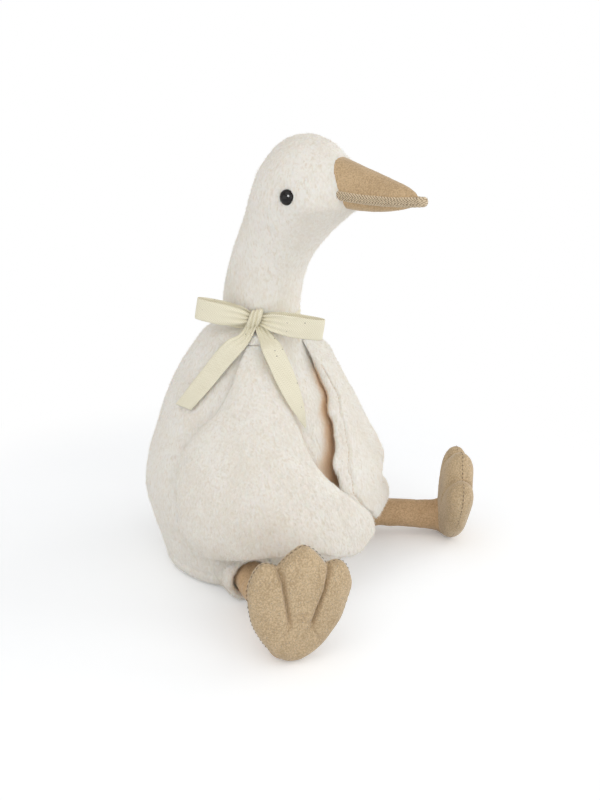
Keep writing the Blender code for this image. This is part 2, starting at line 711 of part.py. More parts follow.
def make_ribbon(shop):
    """One length of tape round the neck, tied in a bow with two loops and two tails."""
    shape = bmesh.new()
    bmesh.ops.create_cone(shape, cap_ends=False, segments=AROUND, radius1=1.0, radius2=1.0, depth=1.0)
    for vert in shape.verts:
        bearing = math.degrees(math.atan2(-vert.co.x, -vert.co.y))
        point = on_skin(bearing, BAND_HEIGHT, DRAPE_GAP)
        vert.co = (point.x, point.y, BAND_HEIGHT + vert.co.z * BAND_WIDTH)
    ribbon = shop.piece("neck_ribbon", mesh_of("neck_ribbon", shape), shop.tape)
    thicken(ribbon, RIBBON_THICKNESS, 1.0)
    shape = bmesh.new()
    bmesh.ops.create_cube(shape, size=1.0)
    bmesh.ops.bevel(shape, geom=shape.edges[:], offset=0.28, segments=2, affect="EDGES", profile=0.5)
    bmesh.ops.scale(shape, vec=(KNOT_WIDTH, KNOT_HEIGHT, KNOT_DEPTH), verts=shape.verts)
    knot = shop.cutter("knot", mesh_of("knot", shape))
    knot.matrix_world = bow_frame() @ Matrix.Translation((0, 0, KNOT_DEPTH / 2 + DRAPE_GAP))
    join(ribbon, knot)
    join(ribbon, strip(shop, "left_loop", loop_rows(-1, LEFT_LOOP_LENGTH, LOOP_TILT)))
    join(ribbon, strip(shop, "right_loop", loop_rows(1, RIGHT_LOOP_LENGTH, -LOOP_TILT)))
    join(ribbon, strip(shop, "left_tail", tail_rows(LEFT_TAIL)))
    join(ribbon, strip(shop, "right_tail", tail_rows(RIGHT_TAIL)))


def main():
    """Builds the whole goose."""
    for old in list(bpy.data.objects):
        bpy.data.objects.remove(old)
    shop = Workshop()
    body = make_body(shop)
    skin = shop.cutter("skin", cover_mesh("skin", SEAM_GAP * 1.5))
    make_eye(shop, body, 1, "right_eye")
    make_eye(shop, body, -1, "left_eye")
    make_bill(shop, skin)
    make_limb(shop, 1, "right", RIGHT_STANCE, skin)
    make_limb(shop, -1, "left", LEFT_STANCE, skin)
    make_wing(shop, 1, "right_wing", RIGHT_DRAPE)
    make_wing(shop, -1, "left_wing", LEFT_DRAPE)
    make_ribbon(shop)


if __name__ == "__main__":
    main()
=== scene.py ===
"""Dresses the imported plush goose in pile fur, velveteen, a tape bow and eyes, in metres with +Z up."""

import logging
import math
from dataclasses import dataclass, field
from enum import Enum

import bpy
import numpy as np
from mathutils import Matrix, Vector


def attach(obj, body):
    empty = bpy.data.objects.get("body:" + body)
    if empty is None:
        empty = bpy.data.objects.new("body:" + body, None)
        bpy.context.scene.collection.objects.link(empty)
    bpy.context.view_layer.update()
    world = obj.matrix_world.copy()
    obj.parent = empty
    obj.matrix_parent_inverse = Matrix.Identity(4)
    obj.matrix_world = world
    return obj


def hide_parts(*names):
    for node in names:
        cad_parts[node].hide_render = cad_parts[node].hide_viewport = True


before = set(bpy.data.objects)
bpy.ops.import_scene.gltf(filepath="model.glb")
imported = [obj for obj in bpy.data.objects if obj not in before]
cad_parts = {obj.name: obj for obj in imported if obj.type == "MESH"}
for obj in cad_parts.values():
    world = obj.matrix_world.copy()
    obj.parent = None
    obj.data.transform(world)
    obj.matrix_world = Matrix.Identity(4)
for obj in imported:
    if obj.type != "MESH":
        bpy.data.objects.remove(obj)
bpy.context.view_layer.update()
LOG = logging.getLogger("plush_goose")
Array = np.ndarray


class Side(Enum):
    """The goose's two sides, with the factor that turns a bearing towards each."""

    RIGHT = 1
    LEFT = -1

    @property
    def word(self) -> str:
        """The side's name as the frame's nodes write it."""
        return self.name.lower()


class Slot(Enum):
    """The record's material slots."""

    FUR = "cream_fur"
    VELVET = "tan_velvet"
    TAPE = "ivory_tape"
    PLASTIC = "black_plastic"


# Curves and noise

def catmull(values: Array, shares: Array) -> Array:
    """Reads equally spaced values on a Catmull-Rom curve, which passes through each of them.

    Args:
        values: The values, or rows of them.
        shares: Places from 0 at the first value to 1 at the last.

    Returns:
        The curve at each place: between values b and c, half of
        2b + (c-a)t + (2a-5b+4c-d)t^2 + (3b-a-3c+d)t^3.
    """
    values = np.asarray(values, float)
    last = len(values) - 1
    padded = np.concatenate((2 * values[:1] - values[1:2], values, 2 * values[-1:] - values[-2:-1]))
    place = np.clip(shares, 0, 1) * last
    start = np.minimum(place.astype(int), last - 1)
    t = place - start
    t = t.reshape(t.shape + (1,) * (values.ndim - 1))
    a, b, c, d = (padded[start + k] for k in range(4))
    return 0.5 * (2 * b + (c - a) * t + (2 * a - 5 * b + 4 * c - d) * t ** 2
                  + (3 * b - a - 3 * c + d) * t ** 3)


def bell(distance: Array, width: float) -> Array:
    """A smooth bump of height 1 at distance 0: exp(-(distance/width)^2)."""
    return np.exp(-(distance / width) ** 2)


def smoothstep(low: float, high: float, value: Array) -> Array:
    """Rises smoothly from 0 at low to 1 at high: 3t^2 - 2t^3."""
    t = np.clip((value - low) / (high - low), 0, 1)
    return t * t * (3 - 2 * t)


def unit(vectors: Array) -> Array:
    """The vectors at length 1."""
    return vectors / np.maximum(np.linalg.norm(vectors, axis=-1, keepdims=True), 1e-12)


def points_of(*coordinates: Array | float) -> Array:
    """Points from their coordinates, which are spread to one shape."""
    return np.stack(np.broadcast_arrays(*coordinates), -1)


def way_along(path: Array) -> Array:
    """The distance along a path at each of its points."""
    return np.concatenate(((0.0,), np.cumsum(np.linalg.norm(np.diff(path, axis=0), axis=1))))


def read_along(path: Array, way: Array, wanted: Array) -> Array:
    """A path's rows at wanted distances, on straight lines between its own."""
    return np.stack([np.interp(wanted, way, path[:, k]) for k in range(path.shape[1])], -1)


def stitch_run(path: Array, pitch: float, length: float, spare: float) -> tuple[Array, Array]:
    """Where even running stitches along a path start and end, with a spare length left at its end."""
    way = way_along(path)
    starts = np.arange(0.0, way[-1] - spare, pitch)
    return read_along(path, way, starts), read_along(path, way, starts + length)


class Lattice:
    """Smooth noise between -1 and 1, from seeded numbers on a cubic lattice blended with 3t^2 - 2t^3."""

    def __init__(self, seed: int, size: int = 48) -> None:
        """Draws the lattice's numbers."""
        self.size = size
        self.values = np.random.default_rng(seed).uniform(-1, 1, (size, size, size))

    def at(self, points: Array, spacing: tuple[float, float, float]) -> Array:
        """The noise at points, for a lattice of that spacing along X, Y and Z."""
        place = points / np.array(spacing)
        cell = np.floor(place).astype(int)
        t = place - cell
        t = t * t * (3 - 2 * t)
        total = np.zeros(points.shape[:-1])
        for corner in np.ndindex(2, 2, 2):
            index = (cell + corner) % self.size
            weight = np.prod(np.where(np.array(corner, bool), t, 1 - t), axis=-1)
            total += weight * self.values[index[..., 0], index[..., 1], index[..., 2]]
        return total


LUMPS, TUFTS = Lattice(11), Lattice(23)
UP = np.array((0.0, 0.0, 1.0))


def clumped_nap(points: Array) -> Array:
    """The height of the pile's clumped ends, in tufts of two sizes."""
    return (TUFTS.at(points, (0.0026, 0.0026, 0.0052)) * 0.00026
            + TUFTS.at(points + 1.7, (0.0016, 0.0016, 0.0034)) * 0.00020)


# Surfaces

@dataclass
class Shell:
    """A surface as arrays: its points, its four-sided faces and its triangles."""

    points: Array
    quads: Array
    triangles: Array = field(default_factory=lambda: np.zeros((0, 3), int))

    def all_triangles(self) -> Array:
        """Every face as triangles."""
        return np.concatenate((self.quads[:, (0, 1, 2)], self.quads[:, (0, 2, 3)], self.triangles))

    def normals(self) -> Array:
        """Unit normals at the points: the sum of the area vectors of the triangles round each."""
        corners = self.all_triangles()
        a, b, c = (self.points[corners[:, k]] for k in range(3))
        area = np.cross(b - a, c - a)
        total = np.zeros_like(self.points)
        for k in range(3):
            np.add.at(total, corners[:, k], area)
        return unit(total)

    def outward(self) -> "Shell":
        """The same shell, with its faces turned outwards if its volume comes out negative."""
        corners = self.all_triangles()
        a, b, c = (self.points[corners[:, k]] for k in range(3))
        if np.einsum("ij,ij->i", a, np.cross(b, c)).sum() < 0:
            return Shell(self.points, self.quads[:, ::-1], self.triangles[:, ::-1])
        return self

    def moved(self, amount: Array) -> "Shell":
        """The shell with each point moved along its normal by its amount."""
        return Shell(self.points + self.normals() * amount[:, None], self.quads, self.triangles)

    def above(self, height: float) -> "Shell":
        """The shell with its points raised to a height where they lie lower."""
        self.points[:, 2] = np.maximum(self.points[:, 2], height)
        return self


def grid_quads(index: Array, wrap: bool) -> Array:
    """The four-sided faces between neighbours in a grid of point numbers, round and round if wrap."""
    after = np.roll(index, -1, axis=1) if wrap else index[:, 1:]
    here = index if wrap else index[:, :-1]
    return np.stack((here[:-1], after[:-1], after[1:], here[1:]), -1).reshape(-1, 4)


def turned_shell(rings: Array) -> Shell:
    """A closed skin over rings of points, whose first and last ring shrink to their middles.

    Args:
        rings: Points as (ring, point, 3).

    Returns:
        The shell, faces outwards.
    """
    count, around = rings.shape[:2]
    index = np.arange(count * around).reshape(count, around)
    poles = rings[[0, -1]].mean(axis=1)
    points = np.concatenate((rings.reshape(-1, 3), poles))
    fans = []
    for ring, pole in ((index[0], count * around), (index[-1][::-1], count * around + 1)):
        fans.append(np.stack((np.roll(ring, -1), ring, np.full(around, pole)), -1))
    return Shell(points, grid_quads(index, True), np.concatenate(fans)).outward()


def pillow_shell(front: Array, back: Array) -> Shell:
    """A closed skin of two grids of points that share their border, as two cloths sewn edge to edge."""
    rows, columns = front.shape[:2]
    index = np.arange(rows * columns).reshape(rows, columns)
    behind = index.copy()
    behind[1:-1, 1:-1] = rows * columns + np.arange((rows - 2) * (columns - 2)).reshape(rows - 2, columns - 2)
    points = np.concatenate((front.reshape(-1, 3), back[1:-1, 1:-1].reshape(-1, 3)))
    quads = np.concatenate((grid_quads(index, False), grid_quads(behind, False)[:, ::-1]))
    return Shell(points, quads).outward()


def joined(shells: list[Shell]) -> Shell:
    """Several shells as one."""
    starts = np.cumsum([0] + [len(s.points) for s in shells[:-1]])
    return Shell(np.concatenate([s.points for s in shells]),
                 np.concatenate([s.quads + n for s, n in zip(shells, starts)]),
                 np.concatenate([s.triangles + n for s, n in zip(shells, starts)]))


def threads(starts: Array, ends: Array, outwards: Array, radius: float, rise: float) -> Shell:
    """Stitches of thread, each a tube that leaves the cloth at its start, arches and goes back in at its end.

    The middle line is start + (end-start)s + outwards*rise*(4s(1-s))^0.6. The tube thins to a third at
    both ends.

    Args:
        starts: Where each stitch leaves the cloth.
        ends: Where it goes back in.
        outwards: Unit vectors out of the cloth.
        radius: Of the thread.
        rise: Height of the arch.

    Returns:
        All the stitches as one shell.
    """
    share = np.linspace(0, 1, 5)
    angle = np.linspace(0, 2 * math.pi, 6, endpoint=False)
    along = ends - starts
    across = unit(np.cross(along, outwards))
    arch = rise * (4 * share * (1 - share)) ** 0.6
    middle = starts[:, None] + along[:, None] * share[:, None] + outwards[:, None] * arch[:, None]
    girth = radius * np.sqrt(np.clip(4 * share * (1 - share), 0.12, 1))
    ring = (across[:, None, None] * np.cos(angle)[:, None] + outwards[:, None, None] * np.sin(angle)[:, None])
    points = middle[:, :, None] + ring * girth[:, None, None]
    return joined([turned_shell(p) for p in points])


# Stuffing

@dataclass(frozen=True)
class Stuffing:
    """Fibre filling that presses a cover out from inside, as a short cloth simulation."""

    pressure: float
    travel: float
    frames: int = 16

    def press(self, shell: Shell) -> Array:
        made = bpy.data.objects.new("stuffing", mesh_of("stuffing", shell))
        scene = bpy.context.scene
        scene.collection.objects.link(made)
        step = made.modifiers.new("cloth", "CLOTH")
        cloth = step.settings
        cloth.quality = 5
        cloth.mass = 0.12
        cloth.tension_stiffness = 12
        cloth.compression_stiffness = 12
        cloth.shear_stiffness = 4
        cloth.bending_stiffness = 0.4
        cloth.use_pressure = True
        cloth.uniform_pressure_force = self.pressure
        cloth.effector_weights.gravity = 0
        step.point_cache.frame_start, step.point_cache.frame_end = 1, self.frames
        for number in range(1, self.frames + 1):
            scene.frame_set(number)
        pressed = made.evaluated_get(bpy.context.evaluated_depsgraph_get()).data
        found = np.empty(len(pressed.vertices) * 3, np.float32)
        pressed.vertices.foreach_get("co", found)
        moves = found.reshape(-1, 3) - shell.points
        bpy.data.objects.remove(made)
        scene.frame_set(1)
        length = np.linalg.norm(moves, axis=1, keepdims=True)
        return moves * np.tanh(length / self.travel) * self.travel / np.maximum(length, 1e-9)


def layer_moves(moves: Array, count: int) -> tuple[Array, Array]:
    """A pressed pillow's moves as one grid for each layer; the two share their border."""
    front = moves[:count * count].reshape(count, count, 3)
    back = front.copy()
    back[1:-1, 1:-1] = moves[count * count:].reshape(count - 2, count - 2, 3)
    return front, back


def spread_field(field_values: Array, rows: int, columns: int) -> Array:
    """A grid of values read at finer rows and columns on Catmull-Rom curves, first down and then across."""
    down = catmull(field_values, np.linspace(0, 1, rows))
    across = catmull(np.swapaxes(down, 0, 1), np.linspace(0, 1, columns))
    return np.swapaxes(across, 0, 1)


# Blender meshes and pieces

def mesh_of(name: str, shell: Shell) -> bpy.types.Mesh:
    """A smooth-shaded Blender mesh from a shell."""
    mesh = bpy.data.meshes.new(name)
    mesh.from_pydata(shell.points.tolist(), [], shell.quads.tolist() + shell.triangles.tolist())
    mesh.polygons.foreach_set("use_smooth", np.ones(len(mesh.polygons), bool))
    mesh.update()
    return mesh


def mark(made: bpy.types.Object, name: str, values: Array) -> None:
    """Keeps a number from 0 to 1 for each point, for the material to read."""
    made.data.attributes.new(name, "FLOAT", "POINT").data.foreach_set("value", values.astype(np.float32))


def add_piece(name: str, shell: Shell, looks: list[bpy.types.Material],
              replaces: tuple[str, ...] = ()) -> bpy.types.Object:
    """Puts a finished shell into the scene as a piece that rides on the goose.

    Args:
        name: Of the piece.
        shell: In its place in the frame.
        looks: Its materials.
        replaces: The frame's nodes that it stands for.

    Returns:
        The piece.
    """
    made = bpy.data.objects.new(name, mesh_of(name, shell))
    for look in looks:
        made.data.materials.append(look)
    bpy.context.scene.collection.objects.link(made)
    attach(made, "root")
    if replaces:
        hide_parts(*replaces)
    LOG.info("%s: %d points, %d faces", name, len(made.data.vertices), len(made.data.polygons))
    return made


@dataclass(frozen=True)
class Pile:
    """The fur's standing fibres, as closed slivers of four faces rooted in the cover."""

    count: int
    length: float = 0.0023
    width: float = 0.00026
    rise: float = 0.42
    seed: int = 5

    def grow(self, shell: Shell, lay: Array, keep: Array | None, shade_weight: Array) -> tuple[Shell, Array]:
        """Slivers over a shell, combed along a direction.

        Args:
            shell: The cover.
            lay: The way the nap is combed, one vector or one for each point.
            keep: Which of the shell's triangles bear fibres.
            shade_weight: How much painted shade each point of the shell takes, from 0 to 1.

        Returns:
            The slivers as one shell, and the number of each face's tone.
        """
        draw = np.random.default_rng(self.seed)
        corners = shell.all_triangles()
        if keep is not None:
            corners = corners[keep]
        a, b, c = (shell.points[corners[:, k]] for k in range(3))
        area = np.linalg.norm(np.cross(b - a, c - a), axis=1)
        chosen = draw.choice(len(corners), self.count, p=area / area.sum())
        u, v = draw.uniform(size=(2, self.count))
        fold = u + v > 1
        u, v = np.where(fold, 1 - u, u)[:, None], np.where(fold, 1 - v, v)[:, None]
        root = a[chosen] * (1 - u - v) + b[chosen] * u + c[chosen] * v
        normal = shell.normals()[corners[chosen, 0]]
        comb = np.broadcast_to(lay, shell.points.shape)[corners[chosen, 0]]
        comb = comb + draw.normal(0, 0.33, (self.count, 3))
        comb = comb - normal * np.einsum("ij,ij->i", comb, normal)[:, None]
        comb = unit(comb)
        side = np.cross(normal, comb)
        rise = np.clip(self.rise + draw.normal(0, 0.16, self.count), 0.15, 0.95)[:, None]
        reach = self.length * draw.uniform(0.65, 1.2, self.count)[:, None]
        tip = root + reach * (comb * np.sqrt(1 - rise ** 2) + normal * rise)
        foot = root - normal * 0.0003
        half = self.width / 2
        behind = foot - comb * half * 1.2 + normal * half * 0.6
        points = np.stack((foot + side * half, foot - side * half, behind, tip), 1)
        points[..., 2] = np.maximum(points[..., 2], 0.0002)
        start = 4 * np.arange(self.count)[:, None, None]
        faces = start + np.array(((0, 1, 3), (1, 2, 3), (2, 0, 3), (0, 2, 1)))
        slivers = Shell(points.reshape(-1, 3), np.zeros((0, 4), int), faces.reshape(-1, 3)).outward()
        tone = np.digitize(draw.uniform(size=self.count), (0.42, 0.84))
        # Painted shade: slivers rooted where the cover takes painted shade get the brown shade tone.
        tone = np.where(shade_weight[corners[chosen, 0]] > draw.uniform(0.15, 0.85, self.count), 3, tone)
        return slivers, np.repeat(tone, 4)

    def add(self, name: str, shell: Shell, lay: Array, keep: Array | None, shade_weight: Array) -> bpy.types.Object:
        """The slivers as a piece of three close tones of fur and a brown one painted as shade in the gaps
        under the wings' front edges.
        """
        slivers, tone = self.grow(shell, lay, keep, shade_weight)
        made = add_piece(name, slivers, [FUR_LIGHT, FUR_MIDDLE, FUR_WARM, FUR_GAP_SHADE])
        made.data.polygons.foreach_set("use_smooth", np.zeros(len(tone), bool))
        made.data.polygons.foreach_set("material_index", tone.astype(np.int32))
        return made


# Shader maths

class Reading:
    """A number that varies over a surface. Arithmetic on it adds Math nodes to its material."""

    def __init__(self, bench: "Bench", socket: bpy.types.NodeSocket) -> None:
        """Wraps a socket of the bench's material."""
        self.bench, self.socket = bench, socket

    def math(self, operation: str, *others: "float | Reading") -> "Reading":
        """This number and others through one Math node."""
        made = self.bench.node("ShaderNodeMath", {"operation": operation}, dict(enumerate((self, *others))))
        return Reading(self.bench, made.outputs[0])

    def flipped(self, operation: str, other: float) -> "Reading":
        """The Math node with the plain number first."""
        made = self.bench.node("ShaderNodeMath", {"operation": operation}, {0: other, 1: self})
        return Reading(self.bench, made.outputs[0])

    def __add__(self, other: "float | Reading") -> "Reading":
        """Sum."""
        return self.math("ADD", other)

    def __sub__(self, other: "float | Reading") -> "Reading":
        """Difference."""
        return self.math("SUBTRACT", other)

    def __rsub__(self, other: float) -> "Reading":
        """Difference from a plain number."""
        return self.flipped("SUBTRACT", other)

    def __mul__(self, other: "float | Reading") -> "Reading":
        """Product."""
        return self.math("MULTIPLY", other)

    def sine(self) -> "Reading":
        """Sine."""
        return self.math("SINE")

    def away(self) -> "Reading":
        """Absolute value."""
        return self.math("ABSOLUTE")

    def part(self) -> "Reading":
        """What is left after the whole number below it."""
        return self.math("FRACT")

    def between(self, low: float, high: float) -> "Reading":
        """0 at low and below, 1 at high and above, smooth between."""
        made = self.bench.node("ShaderNodeMapRange", {"interpolation_type": "SMOOTHSTEP"},
                               {"Value": self, "From Min": low, "From Max": high})
        return Reading(self.bench, made.outputs[0])


class Bench:
    """A material under construction: its nodes and its Principled shader."""

    def __init__(self, name: str) -> None:
        """Starts a material with a Principled shader."""
        self.material = bpy.data.materials.new(name)
        self.material.use_nodes = True
        self.tree = self.material.node_tree
        self.shader = self.tree.nodes["Principled BSDF"]

    def node(self, kind: str, settings: dict | None = None, inputs: dict | None = None) -> bpy.types.Node:
        """A node of any type.

        Args:
            kind: The node's type.
            settings: Its own settings, set first.
            inputs: Values or links for its sockets, by name or number.

        Returns:
            The node.
        """
        made = self.tree.nodes.new(kind)
        for key, value in (settings or {}).items():
            setattr(made, key, value)
        for key, value in (inputs or {}).items():
            self.feed(made.inputs[key], value)
        return made

    def feed(self, socket: bpy.types.NodeSocket, value: object) -> None:
        """Links a reading or a socket into a socket, or sets its plain value."""
        if isinstance(value, Reading):
            value = value.socket
        if isinstance(value, bpy.types.NodeSocket):
            self.tree.links.new(value, socket)
        else:
            socket.default_value = value

    def places(self, stretch: tuple[float, float, float] = (1, 1, 1),
               turn: tuple[float, float, float] = (0, 0, 0)) -> bpy.types.NodeSocket:
        """Object coordinates, turned and then stretched."""
        source = self.node("ShaderNodeTexCoord").outputs["Object"]
        made = self.node("ShaderNodeMapping", None, {"Vector": source, "Rotation": turn})
        scaled = self.node("ShaderNodeVectorMath", {"operation": "MULTIPLY"},
                           {0: made.outputs[0], 1: stretch})
        return scaled.outputs[0]

    def noise(self, vector: bpy.types.NodeSocket, scale: float, detail: float = 2.0) -> Reading:
        """Noise from 0 to 1 at a vector."""
        made = self.node("ShaderNodeTexNoise", None, {"Vector": vector, "Scale": scale, "Detail": detail})
        return Reading(self, made.outputs["Fac"])

    def cells(self, vector: bpy.types.NodeSocket, scale: float) -> Reading:
        """Distance to the nearest of scattered points at a vector."""
        made = self.node("ShaderNodeTexVoronoi", None, {"Vector": vector, "Scale": scale})
        return Reading(self, made.outputs["Distance"])

    def blend(self, share: Reading, first: object, second: object) -> bpy.types.NodeSocket:
        """A colour between two, at a share of the way."""
        made = self.node("ShaderNodeMix", {"data_type": "RGBA"}, {0: share, 6: first, 7: second})
        return made.outputs[2]

    def bump(self, height: Reading, distance: float, strength: float = 1.0) -> bpy.types.NodeSocket:
        """A normal from a height."""
        made = self.node("ShaderNodeBump", None,
                         {"Height": height, "Distance": distance, "Strength": strength})
        return made.outputs[0]

    def finish(self, colour: object, roughness: object, normal: object = None,
               **fixed: object) -> bpy.types.Material:
        """Feeds the shader.

        Args:
            colour: Base colour.
            roughness: Roughness.
            normal: Bumped normal, if any.
            fixed: Plain values for other sockets, with _ for a space.

        Returns:
            The finished material.
        """
        self.feed(self.shader.inputs["Base Color"], colour)
        self.feed(self.shader.inputs["Roughness"], roughness)
        if normal is not None:
            self.feed(self.shader.inputs["Normal"], normal)
        for key, value in fixed.items():
            self.shader.inputs[key.replace("_", " ")].default_value = value
        return self.material


Colour = tuple[float, float, float, float]


@dataclass(frozen=True)
class FurFinish:
    """Short cream pile: soft tone patches, combed streaks, warm partings painted as shade in the pile's low
    spots, and brown shade painted in the gaps under the wings' front edges.
    """

    name: str
    light: Colour = (0.862, 0.833, 0.778, 1)
    shade: Colour = (0.798, 0.751, 0.674, 1)
    # Painted shade: the warm tone for the low spots between tufts.
    parting_shade: Colour = (0.650, 0.535, 0.400, 1)
    # Painted shade: the brown for the gaps under the wings' front edges.
    gap_shade: Colour = (0.730, 0.515, 0.325, 1)
    turn: tuple[float, float, float] = (0.0, 0.0, 0.0)

    def make(self) -> bpy.types.Material:
        """The material."""
        bench = Bench(self.name)
        level = bench.places()
        combed = bench.places((1.0, 1.0, 0.45), self.turn)
        patches = bench.noise(level, 38, 3)
        streaks = bench.noise(combed, 620, 3)
        tufts = bench.noise(combed, 300, 2)
        tone = bench.blend((patches * 0.45 + streaks * 0.55).between(0.36, 0.62), self.shade, self.light)
        # Painted shade: a warm darker tone is laid where the bumped pile is low, between tufts.
        tuft_gap_shade = (1 - (tufts * 0.45 + streaks * 0.55).between(0.34, 0.48)) * patches.between(0.25, 0.75)
        furry = bench.blend(tuft_gap_shade * 0.36, tone, self.parting_shade)
        # Painted shade: this attribute browns the fur in the gaps under the wings' front edges, where shade
        # falls.
        depth = Reading(bench, bench.node("ShaderNodeAttribute", {"attribute_name": "gap_shade"}).outputs["Fac"])
        colour = bench.blend(depth, furry, self.gap_shade)
        normal = bench.bump(tufts * 0.45 + streaks * 0.55, 0.0014, 0.9)
        return bench.finish(colour, streaks * 0.10 + 0.86, normal, Sheen_Weight=0.22, Sheen_Roughness=0.45,
                            Sheen_Tint=(1.0, 0.97, 0.92, 1), Specular_IOR_Level=0.12, Subsurface_Weight=0.22,
                            Subsurface_Radius=(1.0, 0.62, 0.40), Subsurface_Scale=0.006)


@dataclass(frozen=True)
class FibreFinish:
    """One tone of the single fibres that stand up from the pile."""

    name: str
    colour: Colour

    def make(self) -> bpy.types.Material:
        """The material."""
        return Bench(self.name).finish(self.colour, 0.9, None, Sheen_Weight=0.2, Sheen_Roughness=0.5,
                                       Specular_IOR_Level=0.1)


@dataclass(frozen=True)
class VelvetFinish:
    """Tan velveteen: brushed patches, a fine grain and scattered darker flecks."""

    name: str
    light: Colour
    shade: Colour
    grain: float
    flecked: float
    fleck: Colour = (0.230, 0.205, 0.180, 1)

    def make(self) -> bpy.types.Material:
        """The material."""
        bench = Bench(self.name)
        level = bench.places()
        brushed = bench.noise(bench.places((1, 1, 0.6)), 85, 3)
        grain = bench.noise(level, 640 * self.grain, 2)
        fine = bench.noise(level, 1050 * self.grain, 1)
        tone = bench.blend((brushed * 0.24 + grain * 0.76).between(0.34, 0.64), self.shade, self.light)
        flecks = fine.between(0.56, 0.68) * grain.between(0.40, 0.60)
        colour = bench.blend(flecks * self.flecked, tone, self.fleck)
        normal = bench.bump(grain * 0.6 + fine * 0.4, 0.00070, 0.8)
        return bench.finish(colour, grain * 0.12 + 0.80, normal, Sheen_Weight=0.45, Sheen_Roughness=0.38,
                            Sheen_Tint=(1.0, 0.95, 0.86, 1), Specular_IOR_Level=0.15)


@dataclass(frozen=True)
class TapeFinish:
    """Herringbone twill tape: slanting ribs that turn back in bands across its width, and a few dark flecks.

    The pattern reads the piece's own map, across the tape from 0 to 1 and along it in widths.
    """

    name: str
    light: Colour = (0.945, 0.900, 0.735, 1)
    shade: Colour = (0.640, 0.580, 0.400, 1)
    fleck: Colour = (0.180, 0.140, 0.100, 1)
    bands: float = 3.0
    ribs: float = 10.5

    def make(self) -> bpy.types.Material:
        """The material."""
        bench = Bench(self.name)
        source = bench.node("ShaderNodeUVMap", {"uv_map": "tape"}).outputs[0]
        split = bench.node("ShaderNodeSeparateXYZ", None, {0: source})
        across, along = Reading(bench, split.outputs[0]), Reading(bench, split.outputs[1])
        zigzag = ((across * self.bands).part() - 0.5).away() * 2
        ribs = ((along * self.ribs + zigzag * 2.4) * (2 * math.pi)).sine() * 0.5 + 0.5
        level = bench.places()
        cloudy = bench.noise(level, 120, 2)
        tone = bench.blend((ribs * 0.80 + cloudy * 0.20).between(0.02, 0.70), self.shade, self.light)
        flecks = 1 - bench.cells(level, 150).between(0.055, 0.085)
        colour = bench.blend(flecks * 0.8, tone, self.fleck)
        normal = bench.bump(ribs * 0.75 + cloudy * 0.25, 0.00022, 0.8)
        return bench.finish(colour, 0.82 - ribs * 0.08, normal, Sheen_Weight=0.12, Sheen_Roughness=0.5,
                            Specular_IOR_Level=0.2)


@dataclass(frozen=True)
class WovenFinish:
    """A narrow woven welt: slanting ribs that turn back at even heights, under a fuzz."""

    name: str
    light: Colour = (0.720, 0.590, 0.410, 1)
    shade: Colour = (0.330, 0.235, 0.145, 1)

    def make(self) -> bpy.types.Material:
        """The material."""
        bench = Bench(self.name)
        split = bench.node("ShaderNodeSeparateXYZ", None, {0: bench.places()})
        forward, level = Reading(bench, split.outputs[1]), Reading(bench, split.outputs[2])
        slant = ((level * 190).part() - 0.5).away() * 4.2
        ribs = ((forward * 520 + slant) * 2 * math.pi).sine() * 0.5 + 0.5
        fuzz = bench.noise(bench.places(), 900, 3)
        tone = bench.blend((ribs * 0.40 + fuzz * 0.60).between(0.28, 0.58), self.shade, self.light)
        return bench.finish(tone, fuzz * 0.1 + 0.85, bench.bump(ribs * 0.5 + fuzz * 0.5, 0.0005, 0.8),
                            Sheen_Weight=0.3, Sheen_Roughness=0.4, Specular_IOR_Level=0.15)


@dataclass(frozen=True)
class ThreadFinish:
    """Sewing thread: two plies that show as a fine twist."""

    name: str
    light: Colour
    shade: Colour

    def make(self) -> bpy.types.Material:
        """The material."""
        bench = Bench(self.name)
        twist = bench.noise(bench.places((1, 1, 2.5)), 2200, 1)
        colour = bench.blend(twist.between(0.35, 0.65), self.shade, self.light)
        return bench.finish(colour, twist * 0.2 + 0.5, bench.bump(twist, 0.0002, 0.6), Specular_IOR_Level=0.3)


@dataclass(frozen=True)
class PlasticFinish:
    """Polished black plastic, with the faint waviness of a moulded dome."""

    name: str
    colour: Colour = (0.004, 0.0035, 0.0035, 1)
    edge: Colour = (0.010, 0.008, 0.007, 1)

    def make(self) -> bpy.types.Material:
        """The material."""
        bench = Bench(self.name)
        waves = bench.noise(bench.places(), 260, 2)
        colour = bench.blend(waves.between(0.35, 0.7), self.colour, self.edge)
        return bench.finish(colour, waves * 0.05 + 0.09, bench.bump(waves, 0.00008, 0.4),
                            Specular_IOR_Level=0.30)


# Finishes in use
FUR_LIGHT = FibreFinish("fibre_light", (0.880, 0.850, 0.790, 1)).make()
FUR_MIDDLE = FibreFinish("fibre_middle", (0.835, 0.794, 0.722, 1)).make()
FUR_WARM = FibreFinish("fibre_warm", (0.760, 0.680, 0.560, 1)).make()
# Painted shade: the brown fibre tone for the gaps under the wings' front edges.
FUR_GAP_SHADE = FibreFinish("fibre_gap_shade", (0.800, 0.625, 0.460, 1)).make()
BODY_FUR = FurFinish("body_fur").make()
RIGHT_WING_FUR = FurFinish("right_wing_fur", turn=(0.0, 0.35, 0.0)).make()
LEFT_WING_FUR = FurFinish("left_wing_fur", turn=(0.0, -0.2, 0.0)).make()
THIGH_FUR = FurFinish("thigh_fur").make()
FOOT_VELVET = VelvetFinish("foot_velvet", light=(0.640, 0.490, 0.310, 1), shade=(0.430, 0.310, 0.182, 1),
                           grain=1.3, flecked=0.80).make()
LEG_VELVET = VelvetFinish("leg_velvet", light=(0.660, 0.455, 0.265, 1), shade=(0.490, 0.318, 0.172, 1),
                          grain=1.3, flecked=0.25).make()
BILL_VELVET = VelvetFinish("bill_velvet", light=(0.620, 0.445, 0.262, 1), shade=(0.440, 0.303, 0.170, 1),
                           grain=1.5, flecked=0.35).make()
WELT_WEAVE = WovenFinish("welt_weave").make()
